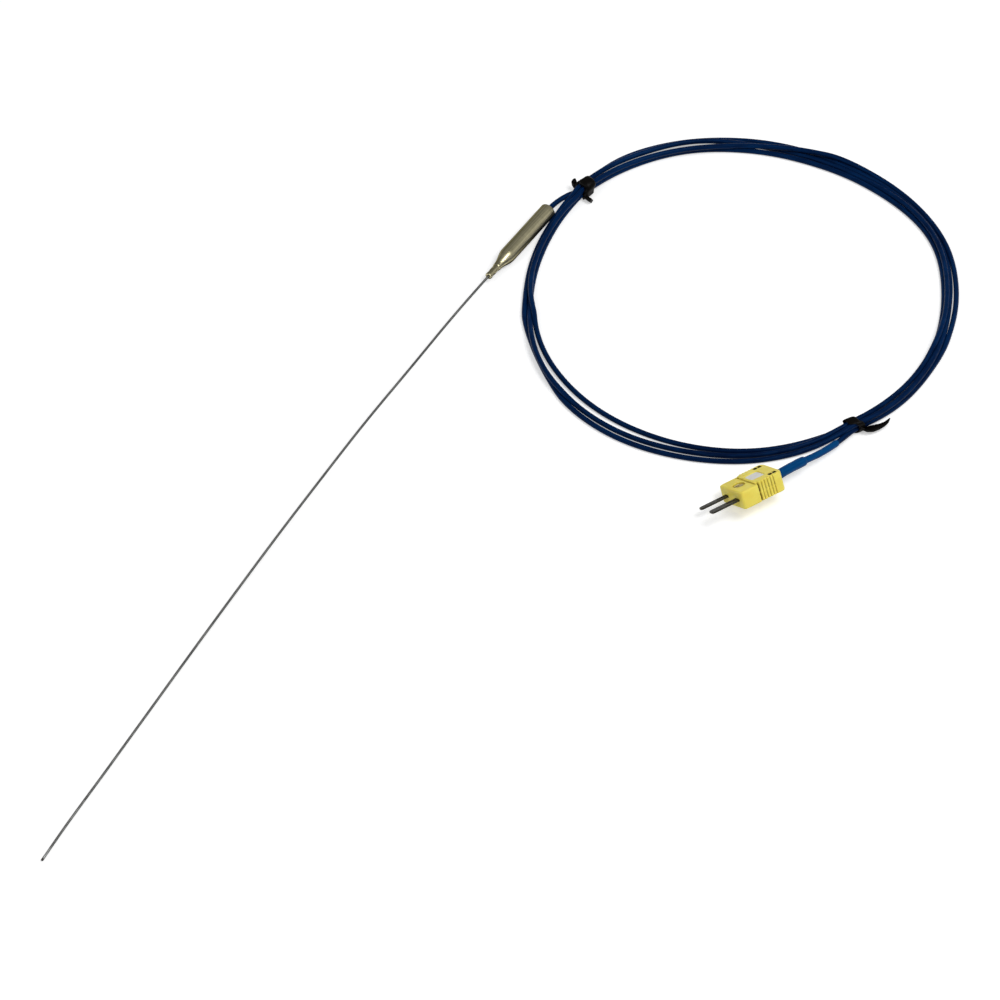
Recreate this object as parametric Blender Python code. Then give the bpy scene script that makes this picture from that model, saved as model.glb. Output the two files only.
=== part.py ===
"""A mineral-insulated thermocouple probe with a stepped metal pot, a coiled lead and a miniature plug.

Lengths are in metres. The probe's own frame starts on the floor below the end of the pot's neck:
+X runs along the pot towards its lead, and the floor is at z = 0. The datum empty then moves it, so
that the world's origin is at the bottom centre of the sheath and the pot.
"""

import math

import bmesh
import bpy
from mathutils import Vector

# Clearance that two pieces keep where one seats in or on the other.
GAP = 0.0003

# Sheath, a thin drawn metal tube packed with mineral powder.
SHEATH_DIAMETER = 0.001
SHEATH_TIP_ROUNDING = 0.0005
SHEATH_SEAT = 0.012
# How far the sheath stands out of its seat, into the pot.
SHEATH_STAND = 0.0005
SHEATH_STEP = 0.006
# The route from the neck to the tip, as seen from above.
SHEATH_STOPS = (
    (-0.0241, -0.0003),
    (-0.0615, -0.0016),
    (-0.0978, -0.0028),
    (-0.1340, -0.0049),
    (-0.1697, -0.0073),
    (-0.2053, -0.0102),
    (-0.2401, -0.0133),
    (-0.2750, -0.0167),
    (-0.3095, -0.0201),
    (-0.3429, -0.0233),
    (-0.3598, -0.0253),
)
# Distance from the pot at which the sheath first lies on the floor.
SHEATH_TOUCHDOWN = 0.280

# Pot, the stepped sleeve between the sheath and the lead.
POT_LENGTH = 0.0467
POT_DIAMETER = 0.0067
POT_WALL = 0.0005
POT_RIM = 0.0004
NECK_DIAMETER = 0.0029
NECK_LENGTH = 0.0062
NECK_FLARE = 0.0003
CONE_START = 0.0073
CONE_END = 0.0152
CONE_STEPS = 8
CAVITY_CONE_LENGTH = 0.004

# Resin, wires and joints inside the pot.
POTTING_START = 0.0175
POTTING_SETBACK = 0.0006
WIRE_DIAMETER = 0.00024
WIRE_SPACING = 0.0006
WIRE_STEP = 0.0015
# Straight wire beside a ferrule's end.
WIRE_LEAD_IN = 0.001
JOINT_SPACING = 0.0016
SPLICE_START = 0.019
SPLICE_LENGTH = 0.007
SPLICE_WALL = 0.0002
SPLICE_BORE = 0.00084
CORE_DIAMETER = 0.00032
CORE_SPACING = 0.0009
LEAD_START = 0.034

# Lead, its coil and the route of its two free stretches.
LEAD_DIAMETER = 0.0022
LEAD_STEP = 0.0045
COIL_CENTRE = (0.0454, -0.0923)
LEAD_STOPS = (
    (0.0508, 0.0, 0.0033),
    (0.0546, -0.0006, 0.0032),
    (0.0582, -0.0018, 0.0031),
)
TAIL_STOPS = (
    (-0.0038, -0.1699, 0.0024),
    (-0.0089, -0.1694, 0.0026),
    (-0.0181, -0.1671, 0.0042),
    (-0.0267, -0.1644, 0.0056),
    (-0.0350, -0.1618, 0.0066),
)
TIE_UPPER_AZIMUTH = 77.1
TIE_LOWER_AZIMUTH = -118.1
TIE_UPPER_RADIUS = 0.0893
TIE_LOWER_RADIUS = 0.0881
# Where the bundle is tied, it is two strands wide and two high, and the strap lifts it.
TIED_LANES = LEAD_DIAMETER
TIED_HEIGHT = 2 * LEAD_DIAMETER
# Half the length of the straight stretch under a tie, as degrees round the coil.
TIED_SPREAD = 1.2
# The bundle's stations round the coil: azimuth in degrees, radius of the inner and the outer lane,
# height of its underside and number of layers.
COIL_STATIONS = (
    (60.9, 0.0902, 0.0966, 0.0, 1.9),
    (44.5, 0.0910, 0.0964, 0.0, 1.9),
    (29.9, 0.0891, 0.0950, 0.0, 1.9),
    (8.4, 0.0867, 0.0931, 0.0, 1.9),
    (-9.1, 0.0865, 0.0927, 0.0, 1.9),
    (-31.5, 0.0872, 0.0917, 0.0, 1.9),
    (-59.1, 0.0830, 0.0883, 0.0, 1.9),
    (-86.8, 0.0838, 0.0866, 0.0, 1.9),
    (-103.0, 0.0847, 0.0886, 0.0, 1.9),
    (-122.6, 0.0868, 0.0891, 0.0004, 1.9),
    (-135.0, 0.0881, 0.0930, 0.0, 1.5),
    (-148.9, 0.0894, 0.0953, 0.0, 1.0),
    (-162.7, 0.0882, 0.0963, 0.0, 1.0),
    (-178.2, 0.0882, 0.0968, 0.0, 1.0),
    (162.3, 0.0871, 0.0942, 0.0, 1.2),
    (150.4, 0.0863, 0.0908, 0.0, 1.9),
    (137.1, 0.0854, 0.0885, 0.0, 1.9),
    (122.7, 0.0845, 0.0868, 0.0, 1.9),
    (108.2, 0.0843, 0.0869, 0.0, 1.9),
    (94.3, 0.0851, 0.0876, 0.0, 1.9),
    (88.5, 0.0856, 0.0875, 0.0, 1.9),
    (84.0, 0.0866, 0.0888, 0.0006, 1.9),
)
COIL_STEPS = 80
COIL_CORNER_STEPS = 3
# Turns each point of a section a little outwards, so that no two of them are in one place.
COIL_POINT_SHIFT = 1e-6

# Cable ties, moulded with strap, head and tail in one piece.
STRAP_WIDTH = 0.0025
STRAP_THICKNESS = 0.0008
STRAP_CORNER = 0.0014
TIE_EDGE = 0.0003
TIE_HEAD_CORNER = 0.0014
# Each head: its size across the bundle, along it and upwards, and its place on the crown.
UPPER_HEAD = ((0.0058, 0.0052, 0.0022), (-0.0014, -0.0006))
LOWER_HEAD = ((0.0050, 0.0044, 0.0015), (0.0, -0.0010))
# The cut end, the ear and the long end, from the side of the strap that they leave.
STUB_STOPS = (
    (0.0, 0.0006, 0.0024),
    (-0.0007, 0.0017, 0.0021),
    (-0.0036, 0.0014, 0.0016),
)
EAR_SIZE = (0.0016, 0.0015, 0.0034)
LONG_TAIL_STOPS = (
    (0.0000, 0.0000, 0.0030),
    (0.0013, 0.0018, 0.0022),
    (0.0026, 0.0052, 0.0020),
    (0.0030, 0.0089, 0.0024),
    (0.0034, 0.0116, 0.0030),
    (0.0035, 0.0138, 0.0044),
)
STRIP_STEP = 0.0016
# How much of a free end's width and thickness is lost at its tip.
LONG_TAIL_TAPER = 0.75
STUB_TAPER = 0.1

# Heat-shrink sleeves on the lead behind the plug.
THIN_SLEEVE_DIAMETER = 0.0028
THICK_SLEEVE_DIAMETER = 0.0040
THIN_SLEEVE_LENGTH = 0.035
THICK_SLEEVE_LENGTH = 0.0162
SLEEVE_FIT = 0.0001
SLEEVE_WALL = 0.0003
SLEEVE_STEP = 0.0025

# Plug, in its own frame: +X leaves by the pins, +Z is its labelled side, and z = 0 is its parting plane.
PLUG_FRONT = (-0.0602, -0.1517)
PLUG_HEADING = 156.3
PLUG_ROLL = 28.0
PLUG_LENGTH = 0.0194
PLUG_WIDTH = 0.0162
PLUG_HALF_HEIGHT = 0.0038
REAR_RISE = 0.0007
FRONT_LENGTH = 0.0078
FRONT_CORNER = 0.0010
REAR_CORNER = 0.0022
PLUG_EDGE = 0.0007
GRIP_SETBACK = 0.0015
GRIP_GROOVE = 0.0007
RIB_COUNT = 5
RIB_PITCH = 0.00145
RIB_HEIGHT = 0.0007
# Shares of a rib's pitch at which its crest starts and ends, and of its height that is left between ribs.
RIB_CREST = (0.25, 0.70)
RIB_VALLEY = 0.1
REAR_SETBACK = 0.0007
REAR_SLOPE = 0.0003
STEP_REACH = 0.0004
CORNER_STEPS = 4
EDGE_STEPS = 3

PIN_SPACING = 0.00792
PIN_LENGTH = 0.0129
PIN_THICKNESS = 0.0008
PIN_WIDTH_POSITIVE = 0.0024
PIN_WIDTH_NEGATIVE = 0.0032
PIN_TAIL = 0.0092
PIN_GROOVE_LENGTH = 0.0036
PIN_GROOVE_DEPTH = 0.00022
PIN_GROOVE_SHARE = 0.42
PIN_TIP = 0.0012

TERMINAL_SETBACK = 0.0075
TERMINAL_SHANK = 0.0012
TERMINAL_HEAD = 0.0026
TERMINAL_HEAD_HEIGHT = 0.0009
TERMINAL_REACH = 0.0018
PLUG_CORE_DIAMETER = 0.0004

COVER_SCREW_SETBACK = 0.0038
COVER_SCREW_SHANK = 0.0016
COVER_SCREW_HEAD = 0.0036
COVER_SCREW_HEAD_HEIGHT = 0.0008
COVER_SCREW_REACH = 0.0026
SCREW_SLOT_WIDTH = 0.0005
SCREW_SLOT_DEPTH = 0.0004
SCREW_RECESS_DEPTH = 0.0012

CAVITY_FRONT = 0.0056
CAVITY_REAR = 0.0166
CAVITY_HALF_WIDTH = 0.0057
CAVITY_TOP = 0.0028
BASE_CAVITY_FRONT = 0.0096
BASE_CAVITY_HALF_WIDTH = 0.0034
BASE_CAVITY_DEPTH = 0.0012
LABEL_FRONT = 0.0086
LABEL_REAR = 0.0148
LABEL_HALF_WIDTH = 0.0031
LABEL_RECESS = 0.0007
LABEL_THICKNESS = 0.00035
REAR_SLOT_OFFSET = 0.0055
REAR_SLOT_FRONT = 0.0152
REAR_SLOT_LENGTH = 0.0032
REAR_SLOT_WIDTH = 0.0008
REAR_SLOT_DEPTH = 0.0009

ROUND_SIDES = 32
SMALL_SIDES = 12
SMOOTH_ANGLE = math.radians(35)
CUT_MARGIN = 0.001

HALF_PLUG = PLUG_WIDTH / 2
POT_AXIS = POT_DIAMETER / 2
POT_BORE = POT_AXIS - POT_WALL
LEAD_RADIUS = LEAD_DIAMETER / 2
TIE_OPENING = TIED_LANES + LEAD_DIAMETER + 2 * GAP
TIE_BASE = STRAP_THICKNESS + GAP
CROWN = STRAP_THICKNESS + TIED_HEIGHT + 2 * GAP + STRAP_THICKNESS


# Scene and materials


def clear_scene():
    for thing in list(bpy.data.objects):
        bpy.data.objects.remove(thing, do_unlink=True)


def material(name, colour, roughness, metallic=0.0):
    made = bpy.data.materials.new(name)
    made.use_nodes = True
    shader = made.node_tree.nodes["Principled BSDF"]
    shader.inputs["Base Color"].default_value = (*colour, 1.0)
    shader.inputs["Roughness"].default_value = roughness
    shader.inputs["Metallic"].default_value = metallic
    made.diffuse_color = (*colour, 1.0)
    return made


def datum(name, location=(0, 0, 0), rotation=(0, 0, 0), parent=None):
    made = bpy.data.objects.new(name, None)
    made.empty_display_size = 0.005
    made.location = location
    made.rotation_euler = rotation
    made.parent = parent
    bpy.context.collection.objects.link(made)
    return made


def place(name, data, parent, finish=None, location=(0, 0, 0), rotation=(0, 0, 0)):
    made = bpy.data.objects.new(name, data)
    made.location = location
    made.rotation_euler = rotation
    made.parent = parent
    if finish:
        data.materials.append(finish)
    bpy.context.collection.objects.link(made)
    return made


# Shapes


def mesh_of(shape, name):
    """The mesh of a bmesh, with its faces pointing out and its round sides shaded smooth."""
    bmesh.ops.recalc_face_normals(shape, faces=shape.faces)
    mesh = bpy.data.meshes.new(name)
    shape.to_mesh(mesh)
    shape.free()
    mesh.shade_smooth()
    mesh.set_sharp_from_angle(angle=SMOOTH_ANGLE)
    return mesh


def turned(name, outline, sides=ROUND_SIDES, hollow=False):
    """A solid of revolution about X. The outline holds (along, radius) pairs, and is a loop if hollow."""
    shape = bmesh.new()
    profile = [shape.verts.new((along, 0, radius)) for along, radius in outline]
    edges = [shape.edges.new(pair) for pair in zip(profile, profile[1:])]
    if hollow:
        edges.append(shape.edges.new((profile[-1], profile[0])))
    bmesh.ops.spin(
        shape,
        geom=profile + edges,
        axis=(1, 0, 0),
        cent=(0, 0, 0),
        steps=sides,
        angle=2 * math.pi,
        use_merge=True,
    )
    bmesh.ops.remove_doubles(shape, verts=shape.verts, dist=1e-7)
    return mesh_of(shape, name)


def lofted(name, sections, closed=False):
    """A skin over sections with equal numbers of points, with flat ends unless it closes on itself."""
    shape = bmesh.new()
    rows = [[shape.verts.new(point) for point in section] for section in sections]
    pairs = list(zip(rows, rows[1:]))
    if closed:
        pairs.append((rows[-1], rows[0]))
    else:
        shape.faces.new(rows[0])
        shape.faces.new(rows[-1])
    count = len(rows[0])
    for low, high in pairs:
        for i in range(count):
            j = (i + 1) % count
            shape.faces.new((low[i], low[j], high[j], high[i]))
    return mesh_of(shape, name)


def box(name, low, high):
    """A box between two corners."""
    outline = (
        (low[0], low[1]),
        (high[0], low[1]),
        (high[0], high[1]),
        (low[0], high[1]),
    )
    return lofted(name, [[(x, y, z) for x, y in outline] for z in (low[2], high[2])])


def arc(centre, radius, start, end, steps):
    """Points on an arc in a plane, with its angles in degrees."""
    points = []
    for i in range(steps + 1):
        angle = math.radians(start + (end - start) * i / steps)
        points.append(
            (
                centre[0] + radius * math.cos(angle),
                centre[1] + radius * math.sin(angle),
            )
        )
    return points


def smooth_between(low, high, share):
    """Goes from low to high with no kink at either end."""
    share = min(1.0, max(0.0, share))
    return low + (high - low) * share * share * (3 - 2 * share)


def smooth_route(stops, step):
    """Points about step apart on one smooth curve through the stops."""
    stops = [Vector(stop) for stop in stops]
    spans = [(b - a).length for a, b in zip(stops, stops[1:])]
    slopes = [(stops[1] - stops[0]) / spans[0]]
    for i in range(1, len(stops) - 1):
        before = (stops[i] - stops[i - 1]) / spans[i - 1]
        after = (stops[i + 1] - stops[i]) / spans[i]
        slopes.append(
            (before * spans[i] + after * spans[i - 1]) / (spans[i - 1] + spans[i])
        )
    slopes.append((stops[-1] - stops[-2]) / spans[-1])
    points = []
    for i, span in enumerate(spans):
        count = max(1, round(span / step))
        for k in range(count):
            t = k / count
            points.append(
                stops[i] * (2 * t**3 - 3 * t**2 + 1)
                + slopes[i] * span * (t**3 - 2 * t**2 + t)
                + stops[i + 1] * (3 * t**2 - 2 * t**3)
                + slopes[i + 1] * span * (t**3 - t**2)
            )
    points.append(stops[-1])
    return points


def tube(name, points, diameter, scales=None, resolution=2):
    """A round solid along points, with filled ends. The scales taper it."""
    curve = bpy.data.curves.new(name, "CURVE")
    curve.dimensions = "3D"
    curve.bevel_depth = diameter / 2
    curve.bevel_resolution = resolution
    curve.use_fill_caps = True
    spline = curve.splines.new("POLY")
    spline.points.add(len(points) - 1)
    for i, point in enumerate(points):
        spline.points[i].co = (*point, 1.0)
        spline.points[i].radius = scales[i] if scales else 1.0
    return curve


def ring_at(point, along, radius, sides):
    """A ring of points across a direction."""
    side = along.cross(Vector((0, 0, 1))).normalized()
    up = side.cross(along).normalized()
    ring = []
    for i in range(sides):
        angle = 2 * math.pi * i / sides
        ring.append(
            point + side * radius * math.cos(angle) + up * radius * math.sin(angle)
        )
    return ring


def sleeve(name, points, bore, diameter, sides=SMALL_SIDES):
    """A tube with an open bore along points."""
    headings = []
    for i in range(len(points)):
        before = points[max(i - 1, 0)]
        after = points[min(i + 1, len(points) - 1)]
        headings.append((after - before).normalized())
    outside = [ring_at(p, h, diameter / 2, sides) for p, h in zip(points, headings)]
    inside = [ring_at(p, h, bore / 2, sides) for p, h in zip(points, headings)]
    return lofted(name, outside + inside[::-1], closed=True)


def boolean(target, name, data, operation, parent, location=(0, 0, 0), rotation=(0, 0, 0)):
    """Cuts a shape out of target, or adds it to it."""
    tool = place(name, data, parent, None, location, rotation)
    tool.hide_render = True
    tool.display_type = "WIRE"
    change = target.modifiers.new(name, "BOOLEAN")
    change.operation = operation
    change.solver = "EXACT"
    change.object = tool
    return tool


# The sheath and the pot


def sheath_route():
    """The sheath's points, from its seat in the pot to its tip, on the floor past the touchdown."""
    floor = SHEATH_DIAMETER / 2
    stops = [(SHEATH_SEAT + SHEATH_STAND, 0.0, POT_AXIS), (0.0, 0.0, POT_AXIS)]
    for x, y in SHEATH_STOPS:
        share = 1 + x / SHEATH_TOUCHDOWN
        stops.append((x, y, smooth_between(floor, POT_AXIS, share)))
    return smooth_route(stops, SHEATH_STEP)


def make_sheath(parent, finish):
    points = sheath_route()
    heading = (points[-1] - points[-2]).normalized()
    end = points[-1]
    scales = [1.0] * len(points)
    for angle in (30, 60, 80):
        turn = math.radians(angle)
        points.append(end + heading * SHEATH_TIP_ROUNDING * math.sin(turn))
        scales.append(math.cos(turn))
    return place(
        "sheath", tube("sheath", points, SHEATH_DIAMETER, scales), parent, finish
    )


def make_pot(parent, finish):
    neck = NECK_DIAMETER / 2
    sheath_bore = SHEATH_DIAMETER / 2 + GAP
    outline = [(0.0, sheath_bore), (0.0, neck - NECK_FLARE / 2), (0.0003, neck)]
    outline.append((NECK_LENGTH, neck))
    for i in range(CONE_STEPS + 1):
        share = i / CONE_STEPS
        along = CONE_START + (CONE_END - CONE_START) * share
        outline.append((along, smooth_between(neck + NECK_FLARE, POT_AXIS, share)))
    outline.append((POT_LENGTH - POT_RIM, POT_AXIS))
    outline.append((POT_LENGTH, POT_AXIS - POT_RIM / 2))
    outline.append((POT_LENGTH, POT_BORE))
    outline.append((SHEATH_SEAT + CAVITY_CONE_LENGTH, POT_BORE))
    outline.append((SHEATH_SEAT, sheath_bore))
    place(
        "transition_pot",
        turned("transition_pot", outline, hollow=True),
        parent,
        finish,
        (0, 0, POT_AXIS),
    )


def make_potting(parent, finish):
    """The resin, with room for the joints at its front and for the lead at its rear."""
    outside = POT_BORE - GAP
    joint_room = JOINT_SPACING / 2 + SPLICE_BORE / 2 + SPLICE_WALL + GAP
    lead_room = LEAD_RADIUS + GAP
    rear = POT_LENGTH - POTTING_SETBACK
    outline = [
        (POTTING_START, joint_room),
        (POTTING_START, outside),
        (rear, outside),
        (rear, lead_room),
        (LEAD_START, lead_room),
        (LEAD_START - GAP, joint_room),
    ]
    place(
        "potting_fill",
        turned("potting_fill", outline, hollow=True),
        parent,
        finish,
        (0, 0, POT_AXIS),
    )


def make_joints(parent, wire_finishes, splice_finish):
    """The element wires, their ferrules and the lead's bared cores, one set on each side of the axis."""
    middle = SPLICE_START + SPLICE_LENGTH / 2
    splice_radius = SPLICE_BORE / 2 + SPLICE_WALL
    splice_end = SPLICE_START + SPLICE_LENGTH
    for sign, pole in ((1, "positive"), (-1, "negative")):
        offset = sign * JOINT_SPACING / 2
        wire = [
            (SHEATH_SEAT + SHEATH_STAND + GAP, sign * WIRE_SPACING / 2, POT_AXIS),
            (SHEATH_SEAT + WIRE_STEP, sign * WIRE_SPACING / 2, POT_AXIS),
            (SPLICE_START - WIRE_LEAD_IN, offset, POT_AXIS),
            (middle - GAP, offset, POT_AXIS),
        ]
        name = "element_wire_" + pole
        data = tube(name, smooth_route(wire, WIRE_STEP), WIRE_DIAMETER)
        place(name, data, parent, wire_finishes[pole])
        outline = [
            (SPLICE_START, SPLICE_BORE / 2),
            (SPLICE_START, splice_radius),
            (splice_end, splice_radius),
            (splice_end, SPLICE_BORE / 2),
        ]
        name = "splice_" + pole
        data = turned(name, outline, SMALL_SIDES, hollow=True)
        place(name, data, parent, splice_finish, (0, offset, POT_AXIS))
        core = [
            (middle + GAP, offset, POT_AXIS),
            (splice_end + WIRE_LEAD_IN, offset, POT_AXIS),
            (LEAD_START - WIRE_STEP, sign * CORE_SPACING / 2, POT_AXIS),
            (LEAD_START - GAP, sign * CORE_SPACING / 2, POT_AXIS),
        ]
        name = "lead_core_" + pole
        data = tube(name, smooth_route(core, WIRE_STEP), CORE_DIAMETER)
        place(name, data, parent, wire_finishes[pole])


# The lead and its coil


def bundle_stations():
    """Every station of the bundle, with the two tied ones, in order of azimuth."""
    stations = list(COIL_STATIONS)
    for azimuth, radius in (
        (TIE_UPPER_AZIMUTH, TIE_UPPER_RADIUS),
        (TIE_LOWER_AZIMUTH, TIE_LOWER_RADIUS),
    ):
        layers = TIED_HEIGHT / LEAD_DIAMETER
        for shift in (-TIED_SPREAD, TIED_SPREAD):
            stations.append(
                (
                    azimuth + shift,
                    radius - TIED_LANES / 2,
                    radius + TIED_LANES / 2,
                    TIE_BASE,
                    layers,
                )
            )
    return sorted(stations)


def bundle_at(azimuth, stations):
    """The bundle's lanes, underside and layers at an azimuth, eased between its stations."""
    turn = 360.0
    following = next((s for s in stations if s[0] > azimuth), None)
    if following is None:
        following = (stations[0][0] + turn, *stations[0][1:])
    earlier = [s for s in stations if s[0] <= azimuth]
    before = earlier[-1] if earlier else (stations[-1][0] - turn, *stations[-1][1:])
    share = (azimuth - before[0]) / (following[0] - before[0])
    return [smooth_between(a, b, share) for a, b in zip(before[1:], following[1:])]


def bundle_section(azimuth, stations):
    """The bundle's outline at an azimuth: a rounded hull over its strands."""
    inner, outer, base, layers = bundle_at(azimuth, stations)
    height = layers * LEAD_DIAMETER
    lean = min(LEAD_RADIUS, max(0.0, (outer - inner - LEAD_DIAMETER) / 2))
    lean *= min(1.0, max(0.0, layers - 1))
    low = base + LEAD_RADIUS
    high = base + height - LEAD_RADIUS
    outline = []
    for centre, start in (
        ((outer, low), -90),
        ((outer - lean, high), 0),
        ((inner + lean, high), 90),
        ((inner, low), 180),
    ):
        outline += arc(centre, LEAD_RADIUS, start, start + 90, COIL_CORNER_STEPS)
    angle = math.radians(azimuth)
    kept = []
    for i, (radius, height_up) in enumerate(outline):
        radius += COIL_POINT_SHIFT * i
        kept.append((radius * math.cos(angle), radius * math.sin(angle), height_up))
    return kept


def make_coil(parent, finish):
    stations = bundle_stations()
    sections = []
    for i in range(COIL_STEPS):
        sections.append(bundle_section(-180 + 360 * i / COIL_STEPS, stations))
    place("lead_coil", lofted("lead_coil", sections, closed=True), parent, finish)


def make_lead_tube(parent, finish):
    stops = [
        (LEAD_START, 0.0, POT_AXIS),
        (POT_LENGTH - 0.002, 0.0, POT_AXIS),
        *LEAD_STOPS,
    ]
    points = smooth_route(stops, LEAD_STEP)
    place("lead_tube", tube("lead_tube", points, LEAD_DIAMETER), parent, finish)


def tail_route(plug):
    """From the coil to the cores' end inside the plug."""
    bpy.context.view_layer.update()
    to_probe = plug.parent.matrix_world.inverted() @ plug.matrix_world
    entry = to_probe @ Vector((-PLUG_LENGTH, 0, 0))
    inside = to_probe @ Vector((-CAVITY_REAR - GAP, 0, 0))
    return [Vector(stop) for stop in TAIL_STOPS] + [entry, inside]


def make_tail(parent, plug, finish, sleeve_finish):
    stops = tail_route(plug)
    points = smooth_route(stops, LEAD_STEP)
    place("lead_tail", tube("lead_tail", points, LEAD_DIAMETER), parent, finish)
    fine = smooth_route(stops[:-1], SLEEVE_STEP / 2)[::-1]
    thin_bore = LEAD_DIAMETER + 2 * SLEEVE_FIT
    thick_bore = THICK_SLEEVE_DIAMETER - 2 * SLEEVE_WALL
    for name, bore, diameter, length in (
        ("shrink_sleeve_thin", thin_bore, THIN_SLEEVE_DIAMETER, THIN_SLEEVE_LENGTH),
        ("shrink_sleeve_thick", thick_bore, THICK_SLEEVE_DIAMETER, THICK_SLEEVE_LENGTH),
    ):
        data = sleeve(name, stretch(fine, GAP, length), bore, diameter)
        place(name, data, parent, sleeve_finish)


def stretch(points, start, end):
    """The part of a route between two distances along it, in steps of a sleeve's length."""
    count = max(2, round((end - start) / SLEEVE_STEP))
    kept = []
    for i in range(count + 1):
        left = start + (end - start) * i / count
        for a, b in zip(points, points[1:]):
            span = (b - a).length
            if left <= span:
                break
            left -= span
        kept.append(a + (b - a) * min(1.0, left / span))
    return kept


# Cable ties


def rounded_rectangle(half_width, low, high, corner):
    """An outline in the plane across the bundle, as (outward, up) pairs."""
    outline = []
    for centre, start in (
        ((half_width - corner, low + corner), -90),
        ((half_width - corner, high - corner), 0),
        ((-half_width + corner, high - corner), 90),
        ((-half_width + corner, low + corner), 180),
    ):
        outline += arc(centre, corner, start, start + 90, CORNER_STEPS)
    return outline


def strap_band(name):
    """The closed loop of strap round the bundle."""
    half = TIE_OPENING / 2
    outside = rounded_rectangle(half + STRAP_THICKNESS, 0.0, CROWN, STRAP_CORNER)
    inside = rounded_rectangle(
        half, STRAP_THICKNESS, CROWN - STRAP_THICKNESS, STRAP_CORNER - STRAP_THICKNESS
    )
    loops = []
    for outline, y in (
        (outside, -STRAP_WIDTH / 2),
        (outside, STRAP_WIDTH / 2),
        (inside, STRAP_WIDTH / 2),
        (inside, -STRAP_WIDTH / 2),
    ):
        loops.append([(x, y, z) for x, z in outline])
    return lofted(name, loops, closed=True)


def tapered_strip(name, stops, width, thickness, taper):
    """A strap's free end, which narrows towards its tip."""
    points = smooth_route(stops, STRIP_STEP)
    sections = []
    for i, point in enumerate(points):
        before = points[max(i - 1, 0)]
        after = points[min(i + 1, len(points) - 1)]
        along = (after - before).normalized()
        side = along.cross(Vector((0, 0, 1))).normalized()
        up = side.cross(along)
        share = i / (len(points) - 1)
        kept = 1 - taper * share * share
        half = width * kept / 2
        thin = thickness * kept / 2
        sections.append(
            [
                point + side * sx * thin + up * sz * half
                for sx, sz in ((-1, -1), (1, -1), (1, 1), (-1, 1))
            ]
        )
    return lofted(name, sections)


def tie_head(name, size, spot):
    """The rounded head on the crown."""
    across, along, height = size
    low = CROWN - STRAP_THICKNESS / 2
    high = CROWN - STRAP_THICKNESS + height
    sections = []
    for level, inset in ((low, 0.0), (high - TIE_EDGE, 0.0), (high, TIE_EDGE)):
        plan = rounded_rectangle(
            across / 2 - inset, inset - along / 2, along / 2 - inset, TIE_HEAD_CORNER
        )
        sections.append([(x + spot[0], y + spot[1], level) for x, y in plan])
    return lofted(name, sections)


def make_tie(name, parent, azimuth, radius, head, finish):
    """One moulded tie: band and head. Its ends are added later."""
    angle = math.radians(azimuth)
    seat = datum(
        name + "_seat",
        (radius * math.cos(angle), radius * math.sin(angle), 0),
        (0, 0, angle),
        parent,
    )
    tie = place(name, strap_band(name), seat, finish)
    boolean(tie, name + "_head", tie_head(name + "_head", *head), "UNION", seat)
    return tie, seat


def make_ties(parent, finish):
    side = TIE_OPENING / 2 + STRAP_THICKNESS
    sink = STRAP_THICKNESS / 2
    upper, seat = make_tie(
        "cable_tie_upper", parent, TIE_UPPER_AZIMUTH, TIE_UPPER_RADIUS, UPPER_HEAD, finish
    )
    stub = [(x - side + sink, y, z) for x, y, z in STUB_STOPS]
    strip = tapered_strip("stub", stub, STRAP_WIDTH * 0.75, STRAP_THICKNESS, STUB_TAPER)
    boolean(upper, "cable_tie_upper_stub", strip, "UNION", seat)
    ear = box(
        "ear",
        (side - sink, 0.0, CROWN / 2 - EAR_SIZE[2] / 2),
        (side + EAR_SIZE[0], EAR_SIZE[1], CROWN / 2 + EAR_SIZE[2] / 2),
    )
    boolean(upper, "cable_tie_upper_ear", ear, "UNION", seat)
    lower, seat = make_tie(
        "cable_tie_lower", parent, TIE_LOWER_AZIMUTH, TIE_LOWER_RADIUS, LOWER_HEAD, finish
    )
    tail = [(x + side - sink, y, z) for x, y, z in LONG_TAIL_STOPS]
    strip = tapered_strip("tail", tail, STRAP_WIDTH * 0.9, STRAP_THICKNESS, LONG_TAIL_TAPER)
    boolean(lower, "cable_tie_lower_tail", strip, "UNION", seat)


# The plug


def grip_side(half, start):
    """One side of the plug in plan, from its front block over the grip's ribs to its rear corner."""
    groove = half - GRIP_SETBACK
    valley = groove + RIB_HEIGHT * RIB_VALLEY
    crest = groove + RIB_HEIGHT
    rear = half - REAR_SETBACK
    side = [(-start, half), (-start, groove), (-start - GRIP_GROOVE, groove)]
    for k in range(RIB_COUNT):
        at = start + GRIP_GROOVE + k * RIB_PITCH
        side.append((-at - RIB_PITCH * RIB_CREST[0], crest))
        side.append((-at - RIB_PITCH * RIB_CREST[1], crest))
        if k < RIB_COUNT - 1:
            side.append((-at - RIB_PITCH, valley))
    end = start + GRIP_GROOVE + RIB_COUNT * RIB_PITCH
    side.append((-end - REAR_SLOPE, rear))
    corner = (-PLUG_LENGTH + REAR_CORNER, rear - REAR_CORNER)
    side += arc(corner, REAR_CORNER, 90, 180, CORNER_STEPS)
    return side


def front_side(half):
    """The rounded front corner of one side."""
    return arc(
        (-FRONT_CORNER, half - FRONT_CORNER), FRONT_CORNER, 0, 90, CORNER_STEPS
    )


def both_sides(side):
    """A closed outline from one side and its mirror image."""
    return side + [(x, -y) for x, y in reversed(side)]


def plan_outline():
    return both_sides(front_side(HALF_PLUG) + grip_side(HALF_PLUG, FRONT_LENGTH))


def cover_rear_outline():
    """The raised rear part in plan: the whole width behind the step, over the ribs."""
    side = grip_side(HALF_PLUG, FRONT_LENGTH)
    step = (-FRONT_LENGTH + STEP_REACH, HALF_PLUG - GRIP_SETBACK)
    return both_sides([step] + side[1:])


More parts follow.
